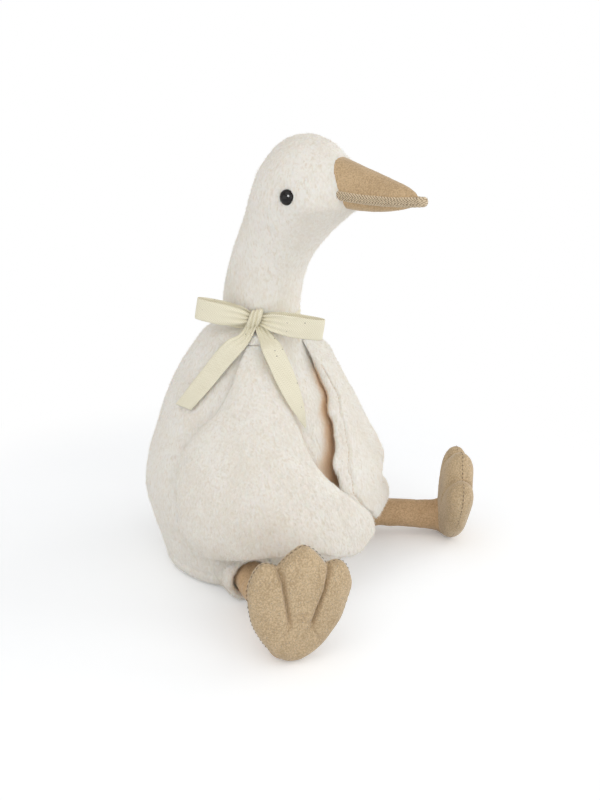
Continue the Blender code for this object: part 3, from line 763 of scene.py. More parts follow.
TAPE_WEAVE = TapeFinish("tape_weave").make()
DARK_THREAD = ThreadFinish("dark_thread", (0.20, 0.145, 0.10, 1), (0.10, 0.07, 0.05, 1)).make()
WELT_THREAD = ThreadFinish("welt_thread", (0.22, 0.16, 0.11, 1), (0.13, 0.09, 0.06, 1)).make()
SEAM_THREAD = ThreadFinish("seam_thread", (0.74, 0.60, 0.45, 1), (0.60, 0.45, 0.31, 1)).make()
GLOSS_BLACK = PlasticFinish("gloss_black").make()


# Body cover

@dataclass
class Skin:
    """The body cover's surface, from level slices that are ellipses. It repeats the part's own sizes."""

    seat_radius: float = 0.072
    body_width: float = 0.173
    body_depth: float = 0.173
    girth_height: float = 0.060
    neck_height: float = 0.194
    neck_forward: float = 0.0100
    neck_width: float = 0.056
    neck_depth: float = 0.0575
    head_width: float = 0.068
    head_length: float = 0.0865
    head_height: float = 0.289
    head_forward: float = 0.055
    crown_height: float = 0.333
    crown_lean: float = 0.0016

    def __post_init__(self) -> None:
        """Works out the slices on a fine curve."""
        rows = self.stations()
        self.rows = catmull(rows, np.linspace(0, 1, 12 * (len(rows) - 1) + 1))

    def stations(self) -> Array:
        """Slices from floor to crown: height, forward shift, half width, half depth."""
        width, depth = self.body_width / 2, self.body_depth / 2
        neck_width, neck_depth = self.neck_width / 2, self.neck_depth / 2
        seat = self.seat_radius / width
        rise = self.neck_height - self.girth_height
        rows = [(0.0, 0.0, self.seat_radius, self.seat_radius * depth / width)]
        for lift, share, tuck in ((0.07, 0.38, 0.0045), (0.22, 0.57, 0.0055), (0.52, 0.80, 0.004)):
            size = seat + (1 - seat) * share
            rows.append((self.girth_height * lift, tuck, width * size, depth * size - tuck))
        rows.append((self.girth_height, 0.0, width, depth))
        for lift, share, shift in ((0.22, 0.928, 0.0), (0.362, 0.817, 0.0), (0.507, 0.708, 0.0),
                                   (0.652, 0.564, 0.0), (0.797, 0.388, 0.13), (0.92, 0.244, 0.50),
                                   (0.968, 0.161, 0.75)):
            rows.append((self.girth_height + rise * lift, self.neck_forward * shift,
                         neck_width + (width - neck_width) * share,
                         neck_depth + (depth - neck_depth) * share))
        rows.append((self.neck_height, self.neck_forward, neck_width * 1.01, neck_depth * 1.01))
        rows.append((self.neck_height + 0.006, self.neck_forward, neck_width, neck_depth))
        climb, stretch = self.head_height - self.neck_height, self.head_forward - self.neck_forward
        for lift, lean, share in ((0.34, 0.077, 0.007), (0.555, 0.267, 0.107), (0.75, 0.55, 0.372),
                                  (0.893, 0.819, 0.724)):
            rows.append((self.neck_height + climb * lift, self.neck_forward + stretch * lean,
                         neck_width + (self.head_width - self.neck_width) / 2 * share,
                         neck_depth + (self.head_length - self.neck_depth) / 2 * share))
        rows.append((self.head_height, self.head_forward, self.head_width / 2, self.head_length / 2))
        for turn_up, size in ((22.0, 0.890), (42.0, 0.665), (60.0, 0.435), (76.0, 0.210)):
            rows.append(self.crown_slice(turn_up, size))
        return np.array(rows)

    def crown_slice(self, turn_up: float, size: float) -> tuple[float, float, float, float]:
        """A slice of the crown at an angle up from the middle of the head, at a share of the head's size."""
        height = self.head_height + (self.crown_height - self.head_height) * math.sin(math.radians(turn_up))
        return (height, self.head_forward + self.crown_lean, self.head_width / 2 * size,
                self.head_length / 2 * size)

    def slice_at(self, height: Array) -> tuple[Array, Array, Array]:
        """Forward shift, half width and half depth at heights."""
        return tuple(np.interp(height, self.rows[:, 0], self.rows[:, k]) for k in (1, 2, 3))

    def at(self, bearing: Array, height: Array, standoff: Array | float = 0.0) -> Array:
        """Points that stand off level from the cover.

        The level radius of the slice's ellipse is 1/hypot(sin(bearing)/half width, cos(bearing)/half depth).
        """
        forward, half_width, half_depth = self.slice_at(height)
        angle = np.radians(bearing)
        radius = 1 / np.hypot(np.sin(angle) / half_width, np.cos(angle) / half_depth) + standoff
        return points_of(-radius * np.sin(angle), -forward - radius * np.cos(angle), height)


SKIN = Skin()


@dataclass
class BodyCover:
    """Body, neck and head in one stuffed cover of pile fur, with a sewn-in round seat panel."""

    around: int = 304
    up: int = 246
    nap: float = 0.0007
    seat_seam_height: float = 0.0125
    seam_depth: float = 0.0013
    eye_dimple: float = 0.0016
    pile: Pile = Pile(count=46000, seed=5)
    lay: tuple[float, float, float] = (0.0, 0.12, -1.0)

    def profile(self, count: int) -> Array:
        """Slices from the seat panel's middle over its rim up to the crown, evenly spaced along the cover."""
        panel = np.array([(0.0, 0.0, r, r) for r in np.linspace(0.0004, SKIN.seat_radius - 0.0015, 12)])
        crown = [SKIN.crown_slice(turn_up, 0.868 * math.cos(math.radians(turn_up)))
                 for turn_up in (79, 82, 85, 87.5, 89.3)]
        rows = np.concatenate((panel, SKIN.rows, np.array(crown)))
        way = np.hypot(np.diff(rows[:, 0]), np.diff(rows[:, 3]))
        near_seam = bell(rows[:-1, 0] - self.seat_seam_height, 0.005) * (rows[:-1, 0] > 0)
        weight = way * (np.where(rows[:-1, 0] > 0, 1.0, 0.25) + 1.6 * near_seam)
        place = np.concatenate(((0.0,), np.cumsum(weight)))
        return read_along(rows, place, np.linspace(0, place[-1], count))

    def grid(self, count: int, around: int) -> Array:
        """Rings of points from seat to crown.

        Each is (-half width sin a, -forward - half depth cos a, height), with a from the back.
        """
        height, forward, half_width, half_depth = self.profile(count).T[:, :, None]
        angle = np.linspace(0, 2 * math.pi, around, endpoint=False)[None, :] + math.pi
        return points_of(-half_width * np.sin(angle), -forward - half_depth * np.cos(angle), height)

    def shell(self) -> Shell:
        """The fine cover: pressed out by its filling, drawn in at eyes and seams, with a clumped nap."""
        coarse_up, coarse_around = 62, 72
        coarse = self.grid(coarse_up, coarse_around)
        moves = Stuffing(pressure=3.0, travel=0.0012).press(turned_shell(coarse))
        field_values = moves[:coarse_up * coarse_around].reshape(coarse_up, coarse_around, 3)
        field_values = np.concatenate((field_values, field_values[:, :1]), axis=1)
        pressed = spread_field(field_values, self.up, self.around + 1)[:, :-1]
        made = turned_shell(self.grid(self.up, self.around) + pressed)
        points = made.points
        lumps = (LUMPS.at(points, (0.034, 0.034, 0.040)) * 0.0008
                 + LUMPS.at(points + 3.0, (0.015, 0.015, 0.019)) * 0.00035)
        wander = 0.0015 * LUMPS.at(points, (0.03, 0.03, 0.03))
        seam = bell(points[:, 2] - self.seat_seam_height - wander, 0.0017)
        rear = (points[:, 1] > -SKIN.slice_at(points[:, 2])[0]) & (points[:, 2] > 0.013)
        behind = bell(points[:, 0], 0.0016) * rear
        eyes = sum(bell(np.linalg.norm(points - Eye(side).seat(), axis=1), 0.0085) for side in Side)
        amount = (self.nap + lumps + clumped_nap(points) - seam * self.seam_depth - behind * 0.0007
                  - eyes * self.eye_dimple)
        return made.moved(np.where(points[:, 2] < 0.0005, 0.0, amount)).above(0.0)

    def build(self) -> None:
        """Makes the cover and its standing fibres."""
        made = self.shell()
        cover = add_piece("body_cover", made, [BODY_FUR], ("body",))
        # Painted shade: the body is browned under and just ahead of the wings' front edges, where shade
        # falls.
        shade_weight = sum(wing.shade_on(made.points) for wing in Wing.shown).clip(0, 1)
        mark(cover, "gap_shade", shade_weight)
        middle = made.points[made.all_triangles()].mean(axis=1)
        keep = (middle[:, 2] > 0.003) & ~Wing.hides(middle)
        self.pile.add("body_pile", made, np.array(self.lay), keep, shade_weight)


# Eyes

@dataclass
class Eye:
    """A domed plastic eye on its shank, set into the face."""

    side: Side
    diameter: float = 0.0110
    dome: float = 0.0045
    sink: float = 0.0018
    height: float = 0.2934
    bearing: float = 76.5
    shank_diameter: float = 0.0032
    shank_length: float = 0.0100

    def seat(self) -> Array:
        """The middle of the eye's back."""
        return SKIN.at(self.bearing * self.side.value, np.array(self.height), -self.sink)

    def build(self) -> None:
        """The eye's outline turned about its axis: a dome r sin(a) wide and h cos(a) high, then the shank."""
        seat = self.seat()
        outwards = unit(seat - np.array((0.0, -SKIN.slice_at(self.height)[0], self.height)))
        sideways = np.cross(UP, outwards)
        sweep = np.radians(np.linspace(1, 90, 26))
        half, shank, end = self.diameter / 2, self.shank_diameter / 2, -self.shank_length
        radius = np.concatenate((half * np.sin(sweep), (half * 0.97, shank, shank, 0.0002)))
        level = np.concatenate((self.dome * np.cos(sweep), (-0.0003, -0.0003, end, end)))
        angle = np.linspace(0, 2 * math.pi, 56, endpoint=False)
        ring = sideways * np.cos(angle)[:, None] + UP * np.sin(angle)[:, None]
        rings = seat + outwards * level[:, None, None] + ring[None] * radius[:, None, None]
        made = turned_shell(rings)
        add_piece(f"{self.side.word}_eye_dome", made, [GLOSS_BLACK], (f"{self.side.word}_eye",))


# Bill

@dataclass
class Bill:
    """The velveteen bill: two stuffed halves with a woven welt between them, sewn to the face."""

    reach: float = 0.150
    base: float = 0.069
    width: float = 0.034
    droop: float = 4.0
    sag: float = 0.0026
    upper_height: float = 0.0219
    lower_depth: float = 0.0078
    mouth_height: float = 0.2993
    welt: float = 0.0055
    welt_proud: float = 0.0016
    roll: float = 0.0026
    centre: tuple[float, float, float] = (0.0, -0.09, 0.3)
    tip_flat: float = 0.0008
    tip_out: float = 0.0034
    stitched_to: float = 0.0050
    stitch_pitch: float = 0.0024

    def half_width(self, share: Array) -> Array:
        """Half the bill's width at a share of its length: w/2 sqrt(1 - share^1.7)(1 - 0.22 share)."""
        return self.width / 2 * np.sqrt(np.maximum(0.0, 1 - share ** 1.7)) * (1 - 0.22 * share)

    def mouth(self, forward: Array) -> Array:
        """Height of the mouth at a distance ahead of the seat."""
        along = (forward - self.base) / (self.reach - self.base)
        return (self.mouth_height - math.tan(math.radians(self.droop)) * (forward - self.base)
                - self.sag * 4 * along * (1 - along))

    def half(self, height: float, taper: float, power: float, proud: float, short: float, up: int) -> Shell:
        """One half of the bill, a D in section that rises with sin(angle)^0.9 over the welt.

        Args:
            height: At the base.
            taper: Share of the height lost by the tip.
            power: How late it is lost.
            proud: How far its rim stands out past the outline.
            short: How far before the bill's reach it ends, rounded off by sqrt(1 - share^20).
            up: 1 for the upper half, -1 for the lower one.

        Returns:
            The half as a closed shell.
        """
        sweep = np.radians(np.linspace(0, 89.2, 66))[:, None]
        share = np.sin(sweep)
        angle = np.linspace(0, math.pi, 49)[None, :]
        half_width = self.half_width(share) + proud
        forward = self.base + (self.reach - self.base - short) * share
        rise = height * (1 - taper * share ** power) * np.sqrt(1 - share ** 20) * np.sin(angle) ** 0.9
        across = half_width * np.cos(angle)
        level = self.welt / 2 - 0.0004 + rise
        top = points_of(across, -forward, self.mouth(forward) + up * level)
        flat = np.linspace(-1, 1, 17)[None, 1:-1]
        low = points_of(half_width * flat, -forward, self.mouth(forward) + up * (self.welt / 2 - 0.0007))
        made = turned_shell(np.concatenate((top, low), axis=1))
        points = made.points
        lumps = LUMPS.at(points + 5.0, (0.016, 0.016, 0.016)) * 0.0006
        grain = TUFTS.at(points, (0.0016, 0.0016, 0.0016)) * 0.00012
        return made.moved(lumps + grain)

    def rim(self, share: Array, out: float) -> Array:
        """One side of the bill's outline at shares of its length, moved out and lengthened at the tip."""
        forward = self.base + (self.reach - self.base + out + self.tip_out) * share
        return points_of(self.half_width(share) + out, -forward, self.mouth(forward))

    def outline(self, out: float, count: int) -> Array:
        """The bill's outline from one corner round the tip to the other, evenly spaced."""
        share = np.cos(np.radians(np.linspace(90, 0, 200)))
        right = self.rim(share, out)
        right = right[right[:, 0] > self.tip_flat]
        whole = np.concatenate((right, right[::-1] * (-1, 1, 1)))
        way = way_along(whole)
        return read_along(whole, way, np.linspace(0, way[-1], count))

    def welt_shell(self) -> Shell:
        """The woven band: a rounded roll along the outline, scalloped where the stitches pull it in."""
        line = self.outline(self.welt_proud - self.roll, 260)
        outward = unit(np.cross(unit(np.gradient(line, axis=0)), UP))
        outward *= np.sign(np.einsum("ij,ij->i", outward, line - self.centre))[:, None]
        pull = 1 - 0.05 * np.abs(np.sin(math.pi * way_along(line) / self.stitch_pitch))
        angle = np.linspace(0, 2 * math.pi, 20, endpoint=False)
        rings = (line[:, None] + outward[:, None] * (np.cos(angle)[:, None] * self.roll * pull[:, None, None])
                 + UP * (np.sin(angle)[:, None] * self.welt * 0.60 * pull[:, None, None]))
        roll = turned_shell(rings)
        return roll.moved(TUFTS.at(roll.points, (0.0013, 0.0013, 0.0013)) * 0.00018)

    def floor_shell(self) -> Shell:
        """The flat inside of the welt, which closes the mouth between the two halves."""
        share = np.sin(np.radians(np.linspace(0, 89, 40)))[:, None]
        across = np.linspace(-1, 1, 21)[None, :]
        forward = self.base + (self.reach - self.base) * share
        half_width = self.half_width(share) * across
        top = points_of(half_width, -forward, self.mouth(forward) + self.welt * 0.42)
        low = top - (0, 0, self.welt * 0.84)
        return pillow_shell(top, low)

    def build(self) -> None:
        """Makes both halves, the welt and the threads that hold them."""
        upper = self.half(self.upper_height, 0.80, 1.55, 0.0, 0.0030, 1)
        lower = self.half(self.lower_depth, 0.9, 3.0, -self.welt_proud, 0.0045, -1)
        add_piece("upper_bill_cover", upper, [BILL_VELVET], ("upper_bill",))
        add_piece("lower_bill_cover", lower, [BILL_VELVET], ("lower_bill",))
        roll = joined([self.welt_shell(), self.floor_shell()])
        add_piece("mouth_welt_roll", roll, [WELT_WEAVE],
                  ("mouth_welt",))
        count = int(0.2 / self.stitch_pitch)
        line = self.outline(self.welt_proud - 0.0004, count * 2 + 1)
        outwards = unit((line - self.centre) * (1, 1, 0))
        middle = line + outwards * 0.0005
        seen = np.abs(middle[0:-1:2, 0]) > self.stitched_to
        slants = [threads(middle[0:-1:2][seen], (line + UP * rise)[1::2][seen], outwards[1::2][seen],
                          0.00011, 0.0002) for rise in (self.welt * 0.46, self.welt * -0.46)]
        add_piece("welt_stitches", joined(slants), [WELT_THREAD])


# Legs and feet

@dataclass(frozen=True)
class Stance:
    """How one leg is put. Bearings are positive towards the leg's own side."""

    splay: float
    reach: float
    facing: float
    lean: float
    nod: float
    ankle_height: float


@dataclass
class Limb:
    """One leg: a fur thigh sleeve, a velveteen leg and a webbed foot sewn from two layers."""

    side: Side
    stance: Stance
    hip: tuple[float, float, float] = (0.052, 0.025, 0.0215)
    thigh_root: float = 0.0208
    thigh_radius: float = 0.0188
    thigh_length: float = 0.041
    leg_radius: float = 0.0120
    foot_length: float = 0.084
    foot_width: float = 0.073
    foot_thickness: float = 0.023
    foot_rows: int = 105
    heel_taper: float = 0.28
    ankle_flare: float = 0.36
    stitch_lift: float = -0.0004
    stitch_pitch: float = 0.0034
    stitch_length: float = 0.0020
    foot_rest: float = 0.0005
    toe_notch: float = 0.466
    groove: float = 0.0024
    converge: float = 0.30

    def heading(self, bearing: float) -> Array:
        """The level direction at a bearing towards this side."""
        angle = math.radians(bearing)
        return np.array((-self.side.value * math.sin(angle), -math.cos(angle), 0.0))

    def ends(self) -> tuple[Array, Array]:
        """The leg's middle line: where it starts in the hip and ends in the foot."""
        side, forward, height = self.hip
        hip = np.array((-self.side.value * side, -forward, height))
        ankle = hip + self.heading(self.stance.splay) * self.stance.reach
        ankle[2] = self.stance.ankle_height
        return hip, ankle

    @staticmethod
    def axes(direction: Array, up: Array) -> Array:
        """Rows X, Y, Z of a frame whose Z is the direction and whose Y is near up."""
        z_axis = unit(direction)
        x_axis = unit(np.cross(up, z_axis))
        return np.stack((x_axis, np.cross(z_axis, x_axis), z_axis))

    def tube(self, radii: Array, lengths: Array, around: int) -> Array:
        """Rings about the leg's middle line, from radii and distances from the hip."""
        hip, ankle = self.ends()
        x_axis, y_axis, z_axis = self.axes(ankle - hip, UP)
        angle = np.linspace(0, 2 * math.pi, around, endpoint=False)
        ring = x_axis * np.cos(angle)[:, None] + y_axis * np.sin(angle)[:, None]
        return hip + z_axis * lengths[:, None, None] + ring[None] * radii[:, None, None]

    def thigh_shell(self) -> Shell:
        """The sleeve: outside from the hip to a rounded hem, then inwards down its open end."""
        hem, outside, inside = self.thigh_length, self.thigh_radius, self.leg_radius
        outline = np.array((
            (0.0004, 0.0), (self.thigh_root, 0.001), (self.thigh_root, 0.018), (outside + 0.0007, 0.034),
            (outside + 0.0004, hem - 0.005), (outside - 0.0006, hem - 0.0012),
            (outside - 0.0032, hem + 0.0002), (inside + 0.0016, hem - 0.0018),
            (inside + 0.0004, hem - 0.007), (inside, hem - 0.012), (0.0004, hem - 0.0125)))
        way = way_along(outline)
        radii, lengths = read_along(outline, way, np.linspace(0, way[-1], 84)).T
        made = turned_shell(self.tube(radii, lengths, 96))
        points = made.points
        amount = (LUMPS.at(points + 2.0, (0.016, 0.016, 0.016)) * 0.0007
                  + TUFTS.at(points, (0.0034, 0.0034, 0.0034)) * 0.0004)
        return made.moved(amount + 0.0003).above(0.0004)

    def leg_shell(self) -> Shell:
        """The stuffed leg: a tube with shallow cross folds near both ends, wider at the foot."""
        hip, ankle = self.ends()
        length = float(np.linalg.norm(ankle - hip))
        start = self.thigh_length - 0.0115
        lengths = np.linspace(start, length, 90)
        share = (lengths - start) / (length - start)
        radii = self.leg_radius * (1 + self.ankle_flare * smoothstep(0.74, 1.0, share) ** 1.6)
        radii = radii * np.where(share < 0.02, 0.9, 1.0)
        made = turned_shell(self.tube(radii, lengths, 72))
        points = made.points
        along = (points - hip) @ ((ankle - hip) / length)
        rest = (along - start) / (length - start)
        folds = np.sin(along / 0.0125 * 2 * math.pi + 4.5 * LUMPS.at(points, (0.016, 0.016, 0.016)))
        amount = folds * 0.00035 * (0.10 + bell(rest - 0.93, 0.12) + bell(rest - 0.2, 0.15))
        amount += LUMPS.at(points + 9.0, (0.011, 0.011, 0.011)) * 0.0006
        amount += TUFTS.at(points, (0.0016, 0.0016, 0.0016)) * 0.00012
        return made.moved(amount).above(0.0004)

    def toe_line(self, across: Array) -> Array:
        """Height of the toes' outline at a share of the half width, as a share of the foot's length."""
        across = np.abs(across)
        web = 0.835
        middle = web + (1 - web) * np.maximum(0, 1 - (across / self.toe_notch) ** 1.55)
        outward = np.clip((across - self.toe_notch) / (1 - self.toe_notch), 0, 1)
        outer = web + 0.030 * np.sin(math.pi * outward) - 0.215 * outward ** 5
        return np.where(across < self.toe_notch, middle, outer)

    def foot_grids(self, rows: int, columns: int, detail: bool) -> tuple[Array, Array]:
        """The foot's sole and back in the foot's own frame: X across, Y to the toes, Z out of the sole.

        Each point lies a share of the way from the heel's curve to the toes' outline. Its height is half the
        thickness times sqrt((1-|u|^5)(1-|2a-1|^4)), less the two quilted grooves. The width lessens evenly
        towards the heel, from two thirds of the length down.
        """
        across = np.linspace(-1, 1, columns)[None, :]
        along = np.linspace(0, 1, rows)[:, None]
        half = self.foot_width / 2
        heel_across = np.sign(across) * np.abs(across) ** 2.2
        heel_y = self.foot_length * (0.5 - 0.5 * np.sqrt(np.maximum(0, 1 - heel_across ** 2)))
        toe_y = self.foot_length * self.toe_line(across)
        y = heel_y + (toe_y - heel_y) * along
        narrow = 1 - self.heel_taper * np.maximum(0.0, 1 - y / (self.foot_length * 0.66))
        x = half * (heel_across + (across - heel_across) * along) * narrow
        fullness = np.sqrt(np.maximum(0, (1 - np.abs(across) ** 5) * (1 - np.abs(2 * along - 1) ** 4)))
        puff = self.foot_thickness / 2 * fullness
        aside = np.abs(across) - self.toe_notch * (1 - self.converge * (1 - along))
        line = bell(aside, 0.050) * smoothstep(0.34, 0.54, along)
        groove = np.minimum(self.groove, puff * 0.75)
        sole, back = puff - groove * line, -puff + groove * 0.35 * line
        if detail:
            share = y / self.foot_length
            sharp = bell(aside, 0.018) * smoothstep(0.42, 0.50, along) * (along < 0.975)
            dimple = bell(aside, 0.09) * bell(along - 0.44, 0.045)
            folds = (bell(share - 0.47, 0.013) + 0.8 * bell(share - 0.43, 0.012)) * bell(across, 0.24)
            rays = bell(share - 0.36 + 0.35 * np.abs(aside), 0.012) * bell(np.abs(across) - 0.50, 0.18)
            creases = sharp * 0.0022 + dimple * 0.0020 + folds * 0.0020 + rays * 0.0012
            sole = sole - creases * np.minimum(1, puff / 0.003)
            scallop = 0.0005 * np.abs(np.sin(math.pi * y / 0.0046)) * smoothstep(0.9, 1.0, np.abs(across))
            x = x + np.sign(across) * scallop
        return points_of(x, y, sole), points_of(x, y, back)

    def foot_frame(self) -> tuple[Array, Array]:
        """The foot's axes as rows, and the place of its heel."""
        ankle = self.ends()[1]
        heading = self.heading(self.stance.facing)
        lean, nod = math.radians(self.stance.lean), math.radians(self.stance.nod)
        inwards = np.array((-self.side.value * heading[1], self.side.value * heading[0], 0.0))
        toes_up = UP * math.cos(lean) + inwards * math.sin(lean)
        axes = self.axes(heading * math.cos(nod) - toes_up * math.sin(nod),
                         toes_up * math.cos(nod) + heading * math.sin(nod))
        return axes, np.array((ankle[0], ankle[1], self.foot_rest))

    def foot_shell(self) -> Shell:
        """The foot, pressed out by its filling and then drawn in along its quilted lines."""
        axes, heel = self.foot_frame()
        coarse = 33
        start = pillow_shell(*self.foot_grids(coarse, coarse, False))
        moves = Stuffing(pressure=2.5, travel=0.0010).press(start)
        sole_moves, back_moves = layer_moves(moves, coarse)
        fine = self.foot_rows
        sole, back = self.foot_grids(fine, fine, True)
        sole = sole + spread_field(sole_moves, fine, fine)
        back = back + spread_field(back_moves, fine, fine)
        made = pillow_shell(sole @ axes + heel, back @ axes + heel)
        points = made.points
        lumps = LUMPS.at(points + 4.0, (0.013, 0.013, 0.013)) * 0.0005
        return made.moved(lumps + TUFTS.at(points, (0.0016, 0.0016, 0.0016)) * 0.00013).above(0.0003)

    def edge_stitches(self) -> Shell:
        """The running stitches round the foot's sewn edge, anticlockwise as seen from the sole."""
        axes, heel = self.foot_frame()
        sole, _ = self.foot_grids(self.foot_rows, self.foot_rows, True)
        border = np.concatenate((sole[0], sole[1:, -1], sole[-1, -2::-1], sole[-2:0:-1, 0]))
        begin, end = stitch_run(border, self.stitch_pitch, self.stitch_length, self.stitch_pitch)
        out = unit(np.cross(end - begin, UP))
        begin, end = ((place + out * self.stitch_lift) @ axes + heel for place in (begin, end))
        return threads(begin, end, out @ axes, 0.00024, 0.0005).above(0.0)

    def build(self) -> None:
        """Makes the sleeve, the leg and the foot."""
        word = self.side.word
        thigh = self.thigh_shell()
        add_piece(f"{word}_thigh_sleeve", thigh, [THIGH_FUR], (f"{word}_thigh",))
        hip, ankle = self.ends()
        direction = (ankle - hip) / np.linalg.norm(ankle - hip)
        middle = thigh.points[thigh.all_triangles()].mean(axis=1)
        along = (middle - hip) @ direction
        Pile(count=7000, length=0.0020, seed=31).add(f"{word}_thigh_pile", thigh, direction,
                                                     (along > 0.012) & (middle[:, 2] > 0.002),
                                                     np.zeros(len(thigh.points)))
        add_piece(f"{word}_leg_cover", self.leg_shell(), [LEG_VELVET], (f"{word}_leg",))
        add_piece(f"{word}_foot_cover", self.foot_shell(), [FOOT_VELVET], (f"{word}_foot",))
        add_piece(f"{word}_foot_stitches", self.edge_stitches(), [DARK_THREAD])


# Wings

@dataclass
class Wing:
    """A flat padded wing of two fur layers sewn edge to edge, draped from the shoulder over the thigh.

    front and rear are the bearings of its long edges from shoulder to hem, and hem the height of its lower
    edge from the front to the rear. fold is the bearing, height and depth of a dent between two lobes.
    """

    side: Side
    front: tuple[float, ...]
    rear: tuple[float, ...]
    hem: tuple[float, ...]
    flare: float
    curl: float
    rear_ease: float
    fold: tuple[float, float, float]
    fur: bpy.types.Material
    ripple: float = 0.0
    # Strength of the brown shade painted in the gap under the front edge.
    gap_shade_strength: float = 0.35
    seam: float = 0.0
    thickness: float = 0.0100
    top: float = 0.185
    thigh_lift: float = 0.010
    thigh_bearing: float = 50.0
    sewn_share: float = 0.12
    rows: int = 132
    columns: int = 112
    pile: Pile = Pile(count=24000, seed=7)

    shown = []

    def middle(self, drop: Array, spread: Array) -> tuple[Array, Array, Array]:
        """Bearing, height and standoff of the wing's middle layer at shares of its drop and its spread."""
        front, rear = self.edges(drop)
        bearing = front + (rear - front) * spread
        height = self.top + (catmull(self.hem, spread) - self.top) * drop
        over_thigh = bell(bearing - self.thigh_bearing, 22.0)
        keep = 1 - (1 - self.rear_ease) * spread ** 3
        flare = drop ** self.curl * (self.flare + self.thigh_lift * over_thigh) * keep
        flare = flare - self.fold[2] * bell(bearing - self.fold[0], 15.0) * bell(height - self.fold[1], 0.008)
        loose = np.minimum(1.0, drop / self.sewn_share)
        return bearing, height, 0.0006 + (0.0004 + self.thickness / 2) * loose + flare

    def grids(self, rows: int, columns: int) -> tuple[Array, Array]:
        """The outer and inner layer: the middle layer plus and minus half the padding.

        The padding is t/2 sqrt((1-|2s-1|^5)(1-|2d-1|^5)), and fades out towards the sewn top.
        """
        drop = np.linspace(0, 1, rows)[:, None]
        spread = np.linspace(0, 1, columns)[None, :]
        drop, spread = np.broadcast_arrays(drop, spread)
        bearing, height, ease = self.middle(drop, spread)
        fullness = np.sqrt(np.maximum(0, (1 - np.abs(2 * spread - 1) ** 5) * (1 - np.abs(2 * drop - 1) ** 5)))
        puff = self.thickness / 2 * fullness * np.minimum(1.0, drop / self.sewn_share)
        bearing = bearing * self.side.value
        return SKIN.at(bearing, height, ease + puff), SKIN.at(bearing, height, ease - puff)

    def edges(self, drop: Array) -> tuple[Array, Array]:
        """Bearings of the front and rear edges at shares of the drop, the front one rippled."""
        wave = np.sin(27 * drop + 0.6) + 0.7 * np.sin(47 * drop)
        wave = wave * self.ripple * smoothstep(0.15, 0.35, drop)
        return catmull(self.front, drop) + wave, catmull(self.rear, drop)

    def spread_of(self, points: Array) -> Array:
        """The share of the wing's spread at which each point of the body lies."""
        forward = SKIN.slice_at(points[:, 2])[0]
        bearing = np.degrees(np.arctan2(-points[:, 0], -points[:, 1] - forward)) * self.side.value
        drop = np.clip((self.top - points[:, 2]) / (self.top - 0.047), 0, 1)
        front, rear = self.edges(drop)
        return (bearing - front) / (rear - front)

    def covers(self, points: Array) -> Array:
        """Which points of the body lie well under this wing."""
        spread = self.spread_of(points)
        hem = catmull(self.hem, np.clip(spread, 0, 1))
        within = (points[:, 2] < self.top - 0.012) & (points[:, 2] > hem + 0.012)
        return (spread > 0.09) & (spread < 0.91) & within

    def shade_on(self, points: Array) -> Array:
        """How much painted shade each point of the body takes under and just ahead of the wing's front edge,
        from 0 to 1.
        """
        spread = self.spread_of(points)
        level = smoothstep(0.172, 0.150, points[:, 2]) * smoothstep(0.040, 0.070, points[:, 2])
        return smoothstep(-0.11, 0.04, spread) * (spread < 0.6) * level * self.gap_shade_strength

    @classmethod
    def hides(cls, points: Array) -> Array:
        """Which points of the body lie well under any wing."""
        hidden = np.zeros(len(points), bool)
        for wing in cls.shown:
            hidden |= wing.covers(points)
        return hidden

    def shell(self) -> Shell:
        """The fine wing: pressed out by its padding, softly waved, with a clumped nap."""
        coarse = 30
        moves = Stuffing(pressure=1.6, travel=0.0009).press(pillow_shell(*self.grids(coarse, coarse)))
        outer_moves, inner_moves = layer_moves(moves, coarse)
        rows, columns = self.rows, self.columns
        outer, inner = self.grids(rows, columns)
        made = pillow_shell(outer + spread_field(outer_moves, rows, columns),
                            inner + spread_field(inner_moves, rows, columns))
        points = made.points
        lumps = (LUMPS.at(points + 6.0, (0.026, 0.026, 0.032)) * 0.0009
                 + LUMPS.at(points + 8.0, (0.012, 0.012, 0.016)) * 0.0004)
        loose = smoothstep(0.186, 0.168, points[:, 2])
        drawn = np.zeros(len(points))
        drop, spread = np.meshgrid(np.linspace(0, 1, rows), np.linspace(0, 1, columns), indexing="ij")
        drawn[:rows * columns] = (bell(spread - self.seam_at(drop), 0.011) * smoothstep(0.10, 0.2, drop)
                                  * smoothstep(0.97, 0.86, drop)).ravel() * (self.seam > 0)
        return made.moved((lumps + clumped_nap(points)) * (0.25 + 0.75 * loose) + 0.0004 - drawn * 0.0017)

    def seam_at(self, drop: Array) -> Array:
        """The share of the spread at which the seam runs, at shares of the drop."""
        return (self.seam * (0.4 + 0.6 * smoothstep(0.05, 0.35, drop))
                * (1 - 0.5 * smoothstep(0.62, 0.95, drop)))

    def seam_threads(self) -> Shell:
        """The stitches that show along the seam near the front edge."""
        drop = np.linspace(0.13, 0.90, 200)
        bearing, height, ease = self.middle(drop, self.seam_at(drop))
        path = SKIN.at(bearing * self.side.value, height, ease + self.thickness / 2 * 0.80 - 0.0006)
        begin, end = stitch_run(path, 0.0029, 0.0024, 0.003)
        return threads(begin, end, unit(begin * (1, 1, 0)), 0.00019, 0.0005)

    def build(self) -> None:
        """Makes the wing and its standing fibres."""
        made = self.shell()
        word = self.side.word
        cover = add_piece(f"{word}_wing_cover", made, [self.fur], (f"{word}_wing",))
